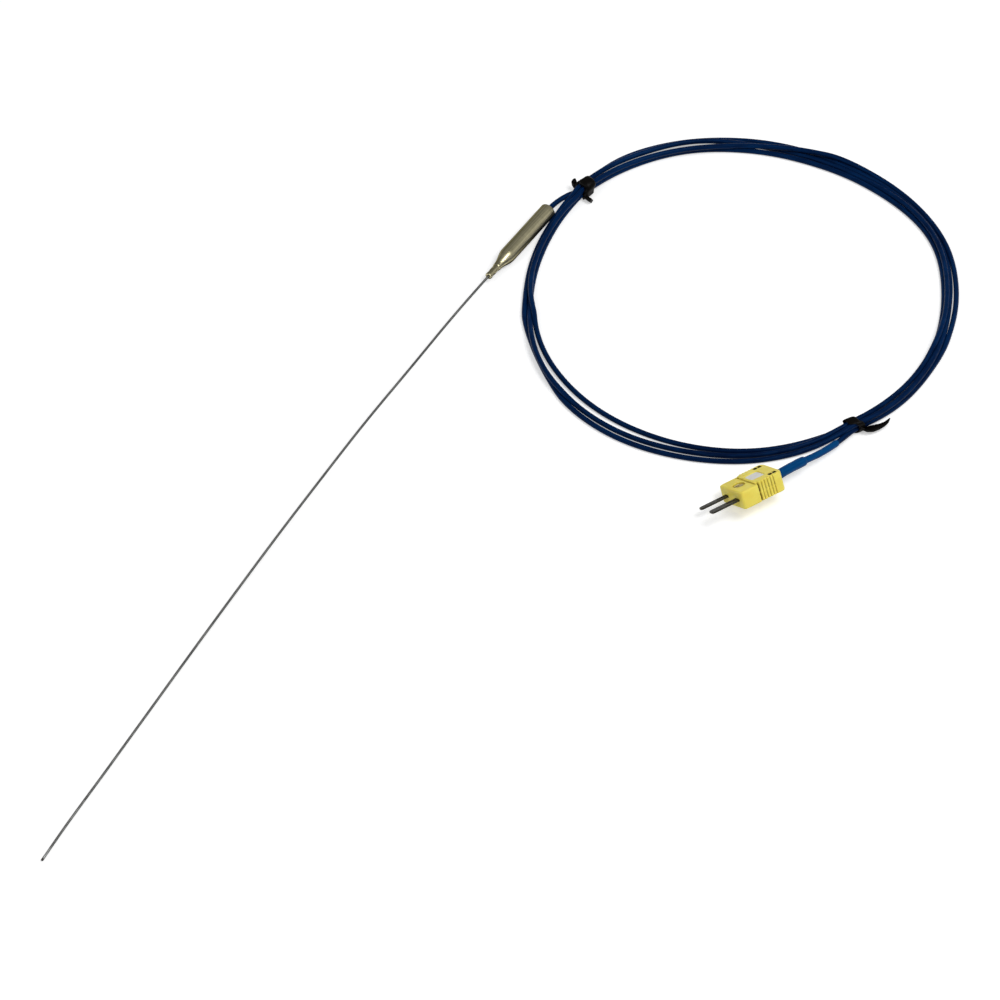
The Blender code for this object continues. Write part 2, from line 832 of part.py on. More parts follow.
def rounded_block(name, outline, low, high, low_edge, high_edge, middle):
    """An outline raised into a block, with its low or high edge rounded."""
    sections = []

    def level(height, inset):
        shrink_x = 1 - inset / (PLUG_LENGTH / 2)
        shrink_y = 1 - inset / HALF_PLUG
        sections.append(
            [
                (middle + (x - middle) * shrink_x, y * shrink_y, height)
                for x, y in outline
            ]
        )

    steps = EDGE_STEPS
    if low_edge:
        for i in range(steps + 1):
            angle = math.radians(90 * i / steps)
            level(
                low + low_edge * (1 - math.sin(angle)),
                low_edge * (1 - math.cos(angle)),
            )
        sections.reverse()
    else:
        level(low, 0.0)
    if high_edge:
        for i in range(steps + 1):
            angle = math.radians(90 * i / steps)
            level(
                high - high_edge * (1 - math.sin(angle)),
                high_edge * (1 - math.cos(angle)),
            )
    else:
        level(high, 0.0)
    return lofted(name, sections)


def pin_pocket(sign, width, low, high):
    """The room that a pin takes up in the body, with its clearance."""
    y = sign * PIN_SPACING / 2
    half = width / 2 + GAP
    return box("pocket", (-PIN_TAIL - GAP, y - half, low), (CUT_MARGIN, y + half, high))


def upright(name, radius, low, high, sides=ROUND_SIDES):
    """A cylinder along Z, for holes and wells."""
    ring = [
        (
            radius * math.cos(2 * math.pi * i / sides),
            radius * math.sin(2 * math.pi * i / sides),
        )
        for i in range(sides)
    ]
    return lofted(name, [[(x, y, z) for x, y in ring] for z in (low, high)])


def poles():
    return (
        ("positive", -1, PIN_WIDTH_POSITIVE),
        ("negative", 1, PIN_WIDTH_NEGATIVE),
    )


def make_base(plug, finish):
    middle = -PLUG_LENGTH / 2
    block = rounded_block(
        "plug_base",
        plan_outline(),
        -PLUG_HALF_HEIGHT,
        -GAP / 2,
        PLUG_EDGE,
        0.0,
        middle,
    )
    base = place("plug_base", block, plug, finish)
    seat = PIN_THICKNESS / 2 + GAP
    for pole, sign, width in poles():
        pocket = pin_pocket(sign, width, -seat, CUT_MARGIN)
        boolean(base, "base_pocket_" + pole, pocket, "DIFFERENCE", plug)
        well = upright("well", TERMINAL_SHANK / 2 + GAP, -TERMINAL_REACH - GAP, 0.0005)
        spot = (-TERMINAL_SETBACK, sign * PIN_SPACING / 2, 0)
        boolean(base, "base_well_" + pole, well, "DIFFERENCE", plug, spot)
    hollow = box(
        "hollow",
        (-CAVITY_REAR, -BASE_CAVITY_HALF_WIDTH, -BASE_CAVITY_DEPTH),
        (-BASE_CAVITY_FRONT, BASE_CAVITY_HALF_WIDTH, CUT_MARGIN),
    )
    boolean(base, "base_hollow", hollow, "DIFFERENCE", plug)
    channel = turned("channel", channel_outline())
    boolean(base, "base_channel", channel, "DIFFERENCE", plug)
    hole = upright(
        "hole", COVER_SCREW_SHANK / 2 + GAP, -COVER_SCREW_REACH - GAP, CUT_MARGIN
    )
    boolean(base, "base_screw_hole", hole, "DIFFERENCE", plug, (-COVER_SCREW_SETBACK, 0, 0))


def channel_outline():
    """The lead's way out of the plug's rear."""
    radius = LEAD_RADIUS + GAP
    return [
        (-PLUG_LENGTH - CUT_MARGIN, 0.0),
        (-PLUG_LENGTH - CUT_MARGIN, radius),
        (-CAVITY_REAR + CUT_MARGIN, radius),
        (-CAVITY_REAR + CUT_MARGIN, 0.0),
    ]


def make_cover(plug, finish):
    middle = -PLUG_LENGTH / 2
    front = rounded_block(
        "plug_cover",
        plan_outline(),
        GAP / 2,
        PLUG_HALF_HEIGHT,
        0.0,
        PLUG_EDGE,
        middle,
    )
    cover = place("plug_cover", front, plug, finish)
    raised = rounded_block(
        "raised",
        cover_rear_outline(),
        PLUG_HALF_HEIGHT - 2 * PLUG_EDGE,
        PLUG_HALF_HEIGHT + REAR_RISE,
        0.0,
        PLUG_EDGE / 2,
        middle,
    )
    boolean(cover, "cover_raised_rear", raised, "UNION", plug)
    top = PLUG_HALF_HEIGHT + REAR_RISE
    seat = PIN_THICKNESS / 2 + GAP
    for pole, sign, width in poles():
        pocket = pin_pocket(sign, width, -CUT_MARGIN, seat)
        boolean(cover, "cover_pocket_" + pole, pocket, "DIFFERENCE", plug)
    hollow = box(
        "hollow",
        (-CAVITY_REAR, -CAVITY_HALF_WIDTH, -CUT_MARGIN),
        (-CAVITY_FRONT, CAVITY_HALF_WIDTH, CAVITY_TOP),
    )
    boolean(cover, "cover_hollow", hollow, "DIFFERENCE", plug)
    channel = turned("channel", channel_outline())
    boolean(cover, "cover_channel", channel, "DIFFERENCE", plug)
    spot = (-COVER_SCREW_SETBACK, 0, 0)
    hole = upright("hole", COVER_SCREW_SHANK / 2 + GAP, -CUT_MARGIN, PLUG_HALF_HEIGHT)
    boolean(cover, "cover_screw_hole", hole, "DIFFERENCE", plug, spot)
    recess = upright(
        "recess",
        COVER_SCREW_HEAD / 2 + GAP,
        PLUG_HALF_HEIGHT - SCREW_RECESS_DEPTH,
        top + CUT_MARGIN,
    )
    boolean(cover, "cover_screw_recess", recess, "DIFFERENCE", plug, spot)
    window = box(
        "window",
        (-LABEL_REAR - GAP, -LABEL_HALF_WIDTH - GAP, top - LABEL_RECESS),
        (-LABEL_FRONT + GAP, LABEL_HALF_WIDTH + GAP, top + CUT_MARGIN),
    )
    boolean(cover, "cover_window", window, "DIFFERENCE", plug)
    for sign, side in ((1, "near"), (-1, "far")):
        y = sign * REAR_SLOT_OFFSET
        slot = box(
            "slot",
            (
                -REAR_SLOT_FRONT - REAR_SLOT_LENGTH,
                y - REAR_SLOT_WIDTH / 2,
                top - REAR_SLOT_DEPTH,
            ),
            (-REAR_SLOT_FRONT, y + REAR_SLOT_WIDTH / 2, top + CUT_MARGIN),
        )
        boolean(cover, "cover_slot_" + side, slot, "DIFFERENCE", plug)


def make_label(plug, finish):
    low = PLUG_HALF_HEIGHT + REAR_RISE - LABEL_RECESS + GAP
    panel = box(
        "label_panel",
        (-LABEL_REAR, -LABEL_HALF_WIDTH, low),
        (-LABEL_FRONT, LABEL_HALF_WIDTH, low + LABEL_THICKNESS),
    )
    place("label_panel", panel, plug, finish)


def screw_outline(head, head_height, shank, reach):
    """A pan-head screw from the tip of its shank to the middle of its head."""
    rounding = head_height * 0.4
    return [
        (-reach, 0.0),
        (-reach, shank * 0.35),
        (-reach + shank * 0.2, shank / 2),
        (0.0, shank / 2),
        (0.0, head / 2),
        (head_height - rounding, head / 2),
        (head_height, head / 2 - rounding),
        (head_height, 0.0),
    ]


def make_screw(name, plug, spot, sizes, finish):
    """A slotted screw standing along the plug's Z, with its head's underside at the spot."""
    upright_turn = (0, -math.pi / 2, 0)
    body = turned(name, screw_outline(*sizes), 24)
    screw = place(name, body, plug, finish, spot, upright_turn)
    head, head_height = sizes[0], sizes[1]
    slot = box(
        "slot",
        (-head, -SCREW_SLOT_WIDTH / 2, head_height - SCREW_SLOT_DEPTH),
        (head, SCREW_SLOT_WIDTH / 2, head_height + CUT_MARGIN),
    )
    boolean(screw, name + "_slot", slot, "DIFFERENCE", plug, spot, (0, 0, math.radians(20)))


def make_pin(pole, sign, width, plug, finish):
    """A flat pin with a shallow groove near its root, a rounded tip and a tail with a screw hole."""
    half = width / 2
    tip = min(PIN_TIP, half)
    side = [(-PIN_TAIL, half), (PIN_LENGTH - tip, half)]
    side += [
        (PIN_LENGTH - tip * (1 - math.sin(a)), half - tip * 0.75 * (1 - math.cos(a)))
        for a in (math.radians(step) for step in (30, 60, 90))
    ]
    outline = both_sides(side)
    thick = PIN_THICKNESS / 2
    name = "pin_" + pole
    blade = lofted(name, [[(x, y, z) for x, y in outline] for z in (-thick, thick)])
    spot = (0, sign * PIN_SPACING / 2, 0)
    pin = place(name, blade, plug, finish, spot)
    for face in (-1, 1):
        low, high = sorted((face * (thick - PIN_GROOVE_DEPTH), face * (thick + CUT_MARGIN)))
        share = PIN_GROOVE_SHARE * half
        groove = box("groove", (0.0006, -share, low), (0.0006 + PIN_GROOVE_LENGTH, share, high))
        boolean(pin, name + "_groove_" + str(face), groove, "DIFFERENCE", plug, spot)
    hole = upright("hole", TERMINAL_SHANK / 2 + GAP, -CUT_MARGIN, CUT_MARGIN, 20)
    place_of_hole = (-TERMINAL_SETBACK, sign * PIN_SPACING / 2, 0)
    boolean(pin, name + "_hole", hole, "DIFFERENCE", plug, place_of_hole)


def make_terminals(plug, wire_finishes, pin_finishes, screw_finish):
    """The pins, the screws on their tails and the cores clamped under the screws."""
    core_height = PIN_THICKNESS / 2 + GAP + PLUG_CORE_DIAMETER / 2
    head_seat = core_height + PLUG_CORE_DIAMETER / 2 + GAP
    for pole, sign, width in poles():
        make_pin(pole, sign, width, plug, pin_finishes[pole])
        y = sign * PIN_SPACING / 2
        make_screw(
            "terminal_screw_" + pole,
            plug,
            (-TERMINAL_SETBACK, y, head_seat),
            (
                TERMINAL_HEAD,
                TERMINAL_HEAD_HEIGHT,
                TERMINAL_SHANK,
                head_seat + TERMINAL_REACH,
            ),
            screw_finish,
        )
        beside = TERMINAL_SHANK / 2 + GAP + PLUG_CORE_DIAMETER / 2
        clamped = sign * (PIN_SPACING / 2 - beside)
        core = [
            (-CAVITY_REAR, sign * CORE_SPACING / 2, 0.0),
            (-CAVITY_REAR + TERMINAL_SHANK, sign * CORE_SPACING / 2, 0.0001),
            (-PIN_TAIL - TERMINAL_SHANK, clamped * 0.93, core_height),
            (-PIN_TAIL, clamped, core_height),
            (-TERMINAL_SETBACK + TERMINAL_SHANK / 2, clamped, core_height),
        ]
        name = "plug_core_" + pole
        data = tube(name, smooth_route(core, WIRE_STEP), PLUG_CORE_DIAMETER)
        place(name, data, plug, wire_finishes[pole])


def make_plug_datum(parent):
    """The plug lies rolled on its far lower edge, and its height follows from that."""
    roll = math.radians(PLUG_ROLL)
    height = (
        (HALF_PLUG - PLUG_EDGE) * math.sin(roll)
        + (PLUG_HALF_HEIGHT - PLUG_EDGE) * math.cos(roll)
        + PLUG_EDGE
    )
    spot = (*PLUG_FRONT, height)
    return datum("plug_datum", spot, (roll, 0, math.radians(PLUG_HEADING)), parent)


# The whole object


def centre_on_floor(frame, names):
    """Moves the frame so that the named objects' box has its bottom centre at the world's origin."""
    bpy.context.view_layer.update()
    graph = bpy.context.evaluated_depsgraph_get()
    corners = []
    for name in names:
        shown = bpy.data.objects[name].evaluated_get(graph)
        mesh = shown.to_mesh()
        corners += [shown.matrix_world @ vertex.co for vertex in mesh.vertices]
        shown.to_mesh_clear()
    low = [min(corner[k] for corner in corners) for k in range(3)]
    high = [max(corner[k] for corner in corners) for k in range(3)]
    frame.location = (-(low[0] + high[0]) / 2, -(low[1] + high[1]) / 2, -low[2])
    bpy.context.view_layer.update()


def build():
    clear_scene()
    steel = material("sheath_steel", (0.16, 0.16, 0.16), 0.4, 1.0)
    sleeve_steel = material("pot_steel", (0.46, 0.45, 0.40), 0.32, 1.0)
    resin = material("resin", (0.04, 0.04, 0.045), 0.5)
    copper = material("core_alloy", (0.55, 0.42, 0.32), 0.35, 1.0)
    nickel = material("ferrule_metal", (0.6, 0.6, 0.6), 0.3, 1.0)
    navy = material("lead_jacket", (0.01, 0.02, 0.09), 0.35)
    blue = material("shrink_blue", (0.0, 0.09, 0.27), 0.4)
    black = material("tie_black", (0.012, 0.012, 0.012), 0.45)
    yellow = material("plug_yellow", (0.87, 0.71, 0.18), 0.45)
    pale = material("label_pale", (0.68, 0.66, 0.58), 0.5)
    dark_pin = material("pin_alloy", (0.10, 0.10, 0.09), 0.4, 1.0)
    wires = {"positive": copper, "negative": nickel}
    pins = {"positive": dark_pin, "negative": dark_pin}

    probe = datum("probe_datum")
    coil = datum("coil_datum", (*COIL_CENTRE, 0), (0, 0, 0), probe)
    plug = make_plug_datum(probe)
    make_sheath(probe, steel)
    make_pot(probe, sleeve_steel)
    make_potting(probe, resin)
    make_joints(probe, wires, nickel)
    make_lead_tube(probe, navy)
    make_coil(coil, navy)
    make_ties(coil, black)
    make_tail(probe, plug, navy, blue)
    make_base(plug, yellow)
    make_cover(plug, yellow)
    make_label(plug, pale)
    make_terminals(plug, wires, pins, nickel)
    make_screw(
        "cover_screw",
        plug,
        (-COVER_SCREW_SETBACK, 0, PLUG_HALF_HEIGHT - SCREW_RECESS_DEPTH + GAP),
        (
            COVER_SCREW_HEAD,
            COVER_SCREW_HEAD_HEIGHT,
            COVER_SCREW_SHANK,
            COVER_SCREW_REACH + PLUG_HALF_HEIGHT - SCREW_RECESS_DEPTH,
        ),
        nickel,
    )
    centre_on_floor(probe, ("sheath", "transition_pot"))


build()
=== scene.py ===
import math

import bmesh
import bpy
import numpy as np
from mathutils import Euler, Matrix, Vector


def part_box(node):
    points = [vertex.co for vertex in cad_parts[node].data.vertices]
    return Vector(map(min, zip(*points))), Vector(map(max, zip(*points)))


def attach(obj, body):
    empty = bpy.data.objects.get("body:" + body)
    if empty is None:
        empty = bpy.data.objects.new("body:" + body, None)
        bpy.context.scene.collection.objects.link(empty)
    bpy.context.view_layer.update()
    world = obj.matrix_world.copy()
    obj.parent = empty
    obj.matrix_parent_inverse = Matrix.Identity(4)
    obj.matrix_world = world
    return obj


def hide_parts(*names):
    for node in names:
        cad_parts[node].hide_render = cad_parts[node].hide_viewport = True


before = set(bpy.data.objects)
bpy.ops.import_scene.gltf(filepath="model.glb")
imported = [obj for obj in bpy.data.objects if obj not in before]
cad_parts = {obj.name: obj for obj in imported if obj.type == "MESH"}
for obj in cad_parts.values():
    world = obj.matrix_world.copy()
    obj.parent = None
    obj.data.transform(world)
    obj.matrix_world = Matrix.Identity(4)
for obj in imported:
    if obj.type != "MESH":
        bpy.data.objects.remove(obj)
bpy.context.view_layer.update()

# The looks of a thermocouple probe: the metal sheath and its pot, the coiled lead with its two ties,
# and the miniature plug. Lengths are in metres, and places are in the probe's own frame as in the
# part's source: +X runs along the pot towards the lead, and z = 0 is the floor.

# Small gaps and edges
HAIRLINE = 0.00001
FINE = 0.0001
ROUNDING = 0.0003
MERGE_DISTANCE = 1e-7

# Sheath
SHEATH_DIAMETER = 0.001
SHEATH_SEAT = 0.012
SHEATH_TOUCHDOWN = 0.280
SHEATH_STOPS = (
    (-0.0241, -0.0003), (-0.0615, -0.0016), (-0.0978, -0.0028), (-0.1340, -0.0049), (-0.1697, -0.0073),
    (-0.2053, -0.0102), (-0.2401, -0.0133), (-0.2750, -0.0167), (-0.3095, -0.0201), (-0.3429, -0.0233),
    (-0.3598, -0.0253),
)
SHEATH_TIP = SHEATH_STOPS[-1][0]
SHEATH_STEP = 0.003
SHEATH_SIDES = 20
TIP_ANGLES = (15, 30, 45, 60, 75, 85)
# Distances from the tip between which the clean end and the weld fade out
CLEAN_FADE = (0.0058, 0.0066)
WELD_FADE = (0.0004, 0.001)

# Pot
POT_LENGTH = 0.0467
POT_DIAMETER = 0.0067
POT_WALL = 0.0005
POT_AXIS = POT_DIAMETER / 2
NECK_DIAMETER = 0.0029
NECK_LENGTH = 0.0062
CONE_START = 0.0073
CONE_END = 0.0152
CONE_RISE = 0.0003
SEAM_DEPTH = 0.0012
CAVITY_CONE_LENGTH = 0.004
NECK_RINGS = 30
CONE_RINGS = 24
BARREL_RINGS = 12
POT_SIDES = 96
# Two rows of flats pressed into the neck: place along it, and turn in radians
CRIMP_ROWS = ((0.0022, 0.3), (0.0046, 0.9))
CRIMP_REACH = 0.0011
CRIMP_DEPTH = 0.00028

# Lead, coil and ties
LEAD_DIAMETER = 0.0022
LEAD_RADIUS = LEAD_DIAMETER / 2
LEAD_START = 0.034
LEAD_STEP = 0.0016
LEAD_SIDES = 24
COIL_CENTRE = (0.0454, -0.0923)
LEAD_STOPS = ((0.0508, 0.0, 0.0033), (0.0546, -0.0006, 0.0032), (0.0582, -0.0018, 0.0031))
TAIL_STOPS = (
    (-0.0038, -0.1699, 0.0024), (-0.0089, -0.1694, 0.0026), (-0.0181, -0.1671, 0.0042),
    (-0.0267, -0.1644, 0.0056), (-0.0350, -0.1618, 0.0066),
)
TIE_UPPER_AZIMUTH = 77.1
TIE_LOWER_AZIMUTH = -118.1
TIE_UPPER_RADIUS = 0.0893
TIE_LOWER_RADIUS = 0.0881
TIED_LANES = LEAD_DIAMETER
TIED_BASE = 0.0011
TIE_GAP = 0.0001
BAND_STEPS = 96
BAND_SAMPLES = 12
BAND_SQUARENESS = 0.4
BAND_RIM = 0.15
STRIP_STEP = 0.0004
TIE_SHARP = 50

# Sleeves: piece, CAD node, length, outer radius and the radius under them
SLEEVES = (
    ("sleeve_thin", "shrink_sleeve_thin", 0.0345, 0.0014, LEAD_RADIUS + 0.00004),
    ("sleeve_thick", "shrink_sleeve_thick", 0.0157, 0.0020, 0.00142),
)
SLEEVE_STEP = 0.0006
SLEEVE_RIM = 0.0009
SLEEVE_SWELL = 0.00004
# The sleeves start among this many of the route's points, counted from the plug
NEAR_PLUG = 60

# Plug, in its own frame: +X leaves by the pins and +Z is the labelled side
PLUG_FRONT = (-0.0602, -0.1517)
PLUG_HEADING = 156.3
PLUG_ROLL = 28.0
PLUG_LENGTH = 0.0194
PLUG_HALF_HEIGHT = 0.0038
REAR_RISE = 0.0007
CAVITY_REAR = 0.0166
FRONT_LENGTH = 0.0078
FRONT_CORNER = 0.0010
REAR_CORNER = 0.0022
FRONT_EDGE = 0.0008
REAR_EDGE = 0.00045
HOUSING_REACH = 0.0005
HOUSING_REAR = 0.0202
HALF_HOUSING = 0.00835
GRIP_SETBACK = 0.0015
GRIP_GROOVE = 0.0007
RIB_COUNT = 5
RIB_PITCH = 0.00145
RIB_HEIGHT = 0.0009
RIB_SAMPLES = 10
REAR_SETBACK = 0.0007
STEP_REACH = 0.0004
CAVITY_FRONT = 0.0056
CAVITY_HALF_WIDTH = 0.0057
CAVITY_TOP = 0.0026
CAVITY_FLOOR = 0.0024
PIN_SPACING = 0.00792
PIN_LENGTH = 0.0135
PIN_HALF_THICKNESS = 0.0004
PIN_TAIL = 0.0092
PIN_WIDTHS = {"positive": 0.0024, "negative": 0.0032}
TERMINAL_SETBACK = 0.0075
TERMINAL_SHANK = 0.0012
COVER_SCREW_SETBACK = 0.0039
COVER_SCREW_RADIUS = 0.0021
COVER_RECESS_RADIUS = 0.0025
COVER_RECESS_DEPTH = 0.0011
LABEL_MIDDLE = -0.0117
LABEL_HALF_LENGTH = 0.0031
LABEL_HALF_WIDTH = 0.0032
LABEL_RECESS = 0.0006
SLOT_MIDDLE = -0.0167
SLOT_OFFSET = 0.0056
SLOT_HALF_LENGTH = 0.0018
SLOT_BRIDGE = 0.0004
SLOT_HALF_WIDTH = 0.00095
LABEL_CORNER = 0.0011
PLATE_THICKNESS = 0.0003
PIN_TIP = 0.0012
PIN_EDGE = 0.00012
PANEL_MIDDLE = 0.0034
PANEL_HALF_LENGTH = 0.0019
PANEL_DEPTH = 0.00025
POCKET_GAP = 0.00015
WALL_TAPER = 0.12
RECESS_TAPER = 0.06
SCREW_HOLE_RADIUS = 0.00095
SCREW_SHANK_RADIUS = 0.0008
SCREW_REACH = 0.0045
CUT_PAST = 0.001

# Camera, floor and light
CAMERA_DISTANCE = 3.0
CAMERA_LENS = 272.16
FLOOR_HALF_SIZE = 20
FLOOR_GLOW = 0.46
SKY_COLOUR = (0.97, 0.985, 1.0, 1)
SKY_STRENGTH = 0.27
# Name, azimuth from the picture's right towards away, elevation, distance, size and radiance
LAMPS = (
    ("key", -17, 61, 1.7, 0.85, 6.7),
    ("side", 12, 30, 1.7, 0.6, 0.5),
    ("fill", 215, 50, 2.0, 1.2, 1.5),
)

# Places

low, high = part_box("transition_pot")
PROBE = Matrix.Translation((low.x, (low.y + high.y) / 2, low.z))
COIL = PROBE @ Matrix.Translation((*COIL_CENTRE, 0.0))
roll = math.radians(PLUG_ROLL)
plug_height = (
    (HALF_HOUSING - FRONT_EDGE) * math.sin(roll)
    + (PLUG_HALF_HEIGHT - FRONT_EDGE) * math.cos(roll)
    + FRONT_EDGE
)
PLUG_IN_PROBE = Matrix.Translation((*PLUG_FRONT, plug_height)) @ Euler(
    (roll, 0, math.radians(PLUG_HEADING))
).to_matrix().to_4x4()
PLUG = PROBE @ PLUG_IN_PROBE
POLES = (("positive", -1), ("negative", 1))


# Shapes


def smooth_between(start, end, share):
    """Goes from start to end with no kink at either end."""
    share = min(1.0, max(0.0, share))
    return start + (end - start) * share * share * (3 - 2 * share)


def eased(stops, at):
    """Values between stops, which hold a place and its values each and go up or down."""
    for (start, *near), (end, *far) in zip(stops, stops[1:]):
        share = (at - start) / (end - start)
        if 0 <= share <= 1:
            return [smooth_between(a, b, share) for a, b in zip(near, far)]
    return stops[0][1:] if share < 0 else stops[-1][1:]


def smooth_route(stops, step):
    """Points about step apart on one smooth curve through the stops."""
    stops = [Vector(stop) for stop in stops]
    spans = [(b - a).length for a, b in zip(stops, stops[1:])]
    slopes = [(stops[1] - stops[0]) / spans[0]]
    for i in range(1, len(stops) - 1):
        before = (stops[i] - stops[i - 1]) / spans[i - 1]
        after = (stops[i + 1] - stops[i]) / spans[i]
        slopes.append((before * spans[i] + after * spans[i - 1]) / (spans[i - 1] + spans[i]))
    slopes.append((stops[-1] - stops[-2]) / spans[-1])
    points = []
    for i, span in enumerate(spans):
        count = max(1, round(span / step))
        for k in range(count):
            t = k / count
            points.append(
                stops[i] * (2 * t**3 - 3 * t**2 + 1)
                + slopes[i] * span * (t**3 - 2 * t**2 + t)
                + stops[i + 1] * (3 * t**2 - 2 * t**3)
                + slopes[i + 1] * span * (t**3 - t**2)
            )
    points.append(stops[-1])
    return points


def added(name, data):
    """A new object in the scene."""
    made = bpy.data.objects.new(name, data)
    bpy.context.scene.collection.objects.link(made)
    return made


def place(name, mesh, matrix, finish, slot, *nodes):
    """A piece in the frame, with its finish, standing for CAD nodes."""
    made = added(name, mesh)
    made.matrix_world = matrix
    mesh.materials.clear()
    mesh.materials.append(finish)
    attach(made, "root")
    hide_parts(*nodes)
    return made


def shaded(mesh, sharp):
    """Smooth shading, with creases where faces meet at more than an angle in degrees."""
    mesh.shade_smooth()
    mesh.set_sharp_from_angle(angle=math.radians(sharp))
    return mesh


def mesh_of(shape, name, sharp=35):
    bmesh.ops.recalc_face_normals(shape, faces=shape.faces)
    mesh = bpy.data.meshes.new(name)
    shape.to_mesh(mesh)
    shape.free()
    return shaded(mesh, sharp)


def lofted(name, sections, closed=False, sharp=35):
    """A skin over sections with equal numbers of points, with flat ends unless it closes on itself."""
    shape = bmesh.new()
    rows = [[shape.verts.new(point) for point in section] for section in sections]
    pairs = list(zip(rows, rows[1:]))
    if closed:
        pairs.append((rows[-1], rows[0]))
    else:
        shape.faces.new(rows[0])
        shape.faces.new(rows[-1])
    count = len(rows[0])
    for near, far in pairs:
        for i in range(count):
            j = (i + 1) % count
            shape.faces.new((near[i], near[j], far[j], far[i]))
    return mesh_of(shape, name, sharp)


def turned(name, outline, sides, hollow=False, shaping=None):
    """A solid of revolution about X, of (along, radius) pairs that make a loop if it is hollow."""
    shape = bmesh.new()
    rows = []
    for i in range(sides):
        angle = 2 * math.pi * i / sides
        row = []
        for along, radius in outline:
            if shaping:
                radius = shaping(along, angle, radius)
            row.append(shape.verts.new((along, radius * math.cos(angle), radius * math.sin(angle))))
        rows.append(row)
    count = len(outline)
    for near, far in zip(rows, rows[1:] + rows[:1]):
        for k in range(count if hollow else count - 1):
            m = (k + 1) % count
            shape.faces.new((near[k], near[m], far[m], far[k]))
    bmesh.ops.remove_doubles(shape, verts=shape.verts, dist=MERGE_DISTANCE)
    return mesh_of(shape, name)


def box(name, low, high):
    outline = ((low[0], low[1]), (high[0], low[1]), (high[0], high[1]), (low[0], high[1]))
    return lofted(name, [level(outline, low[2]), level(outline, high[2])])


def arc(centre, radius, start, end, steps):
    """Points on an arc in a plane, with its angles in degrees."""
    points = []
    for i in range(steps + 1):
        angle = math.radians(start + (end - start) * i / steps)
        points.append((centre[0] + radius * math.cos(angle), centre[1] + radius * math.sin(angle)))
    return points


def headings(points):
    neighbours = zip(points[:1] + points[:-1], points[1:] + points[-1:])
    return [(b - a).normalized() for a, b in neighbours]


def level(plan, height):
    return [(x, y, height) for x, y in plan]


def tube(name, points, radii, sides):
    """A round tube along points with its length and turn as UV, capped at its ends."""
    shape = bmesh.new()
    uv = shape.loops.layers.uv.new("along")
    rows = []
    lengths = [0.0]
    for a, b in zip(points, points[1:]):
        lengths.append(lengths[-1] + (b - a).length)
    side = None
    for point, along, radius in zip(points, headings(points), radii):
        if side is None:
            side = along.cross(Vector((0, 0, 1))).normalized()
        side = (side - along * side.dot(along)).normalized()
        up = along.cross(side)
        ring = []
        for i in range(sides):
            angle = 2 * math.pi * i / sides
            spoke = side * math.cos(angle) + up * math.sin(angle)
            ring.append(shape.verts.new(point + spoke * radius))
        rows.append(ring)
    for k in range(len(rows) - 1):
        for i in range(sides):
            j = (i + 1) % sides
            face = shape.faces.new((rows[k][i], rows[k][j], rows[k + 1][j], rows[k + 1][i]))
            corners = ((k, i), (k, i + 1), (k + 1, i + 1), (k + 1, i))
            for loop, (row, turn) in zip(face.loops, corners):
                loop[uv].uv = (lengths[row], turn / sides)
    for row in (rows[0], rows[-1]):
        shape.faces.new(row)
    return mesh_of(shape, name, 50)


def combined(target, operation, *tools):
    """Cuts tool meshes out of the target object, or adds them to it, and drops them."""
    made = []
    for mesh in tools:
        tool = added("tool", mesh)
        change = target.modifiers.new("change", "BOOLEAN")
        change.operation = operation
        change.solver = "EXACT"
        change.object = tool
        made.append(tool)
    bpy.context.view_layer.update()
    graph = bpy.context.evaluated_depsgraph_get()
    mesh = bpy.data.meshes.new_from_object(target.evaluated_get(graph))
    mesh.name = target.data.name
    target.modifiers.clear()
    target.data = mesh
    for tool in made:
        bpy.data.objects.remove(tool)


def taken(thing):
    """The mesh of an object that was only there to be worked on."""
    mesh = thing.data
    bpy.data.objects.remove(thing)
    return mesh


# Finishes

# Most of a noise's values lie between these two
NOISE_LOW = 0.3
NOISE_HIGH = 0.7
MARK_DEPTH = 0.000004


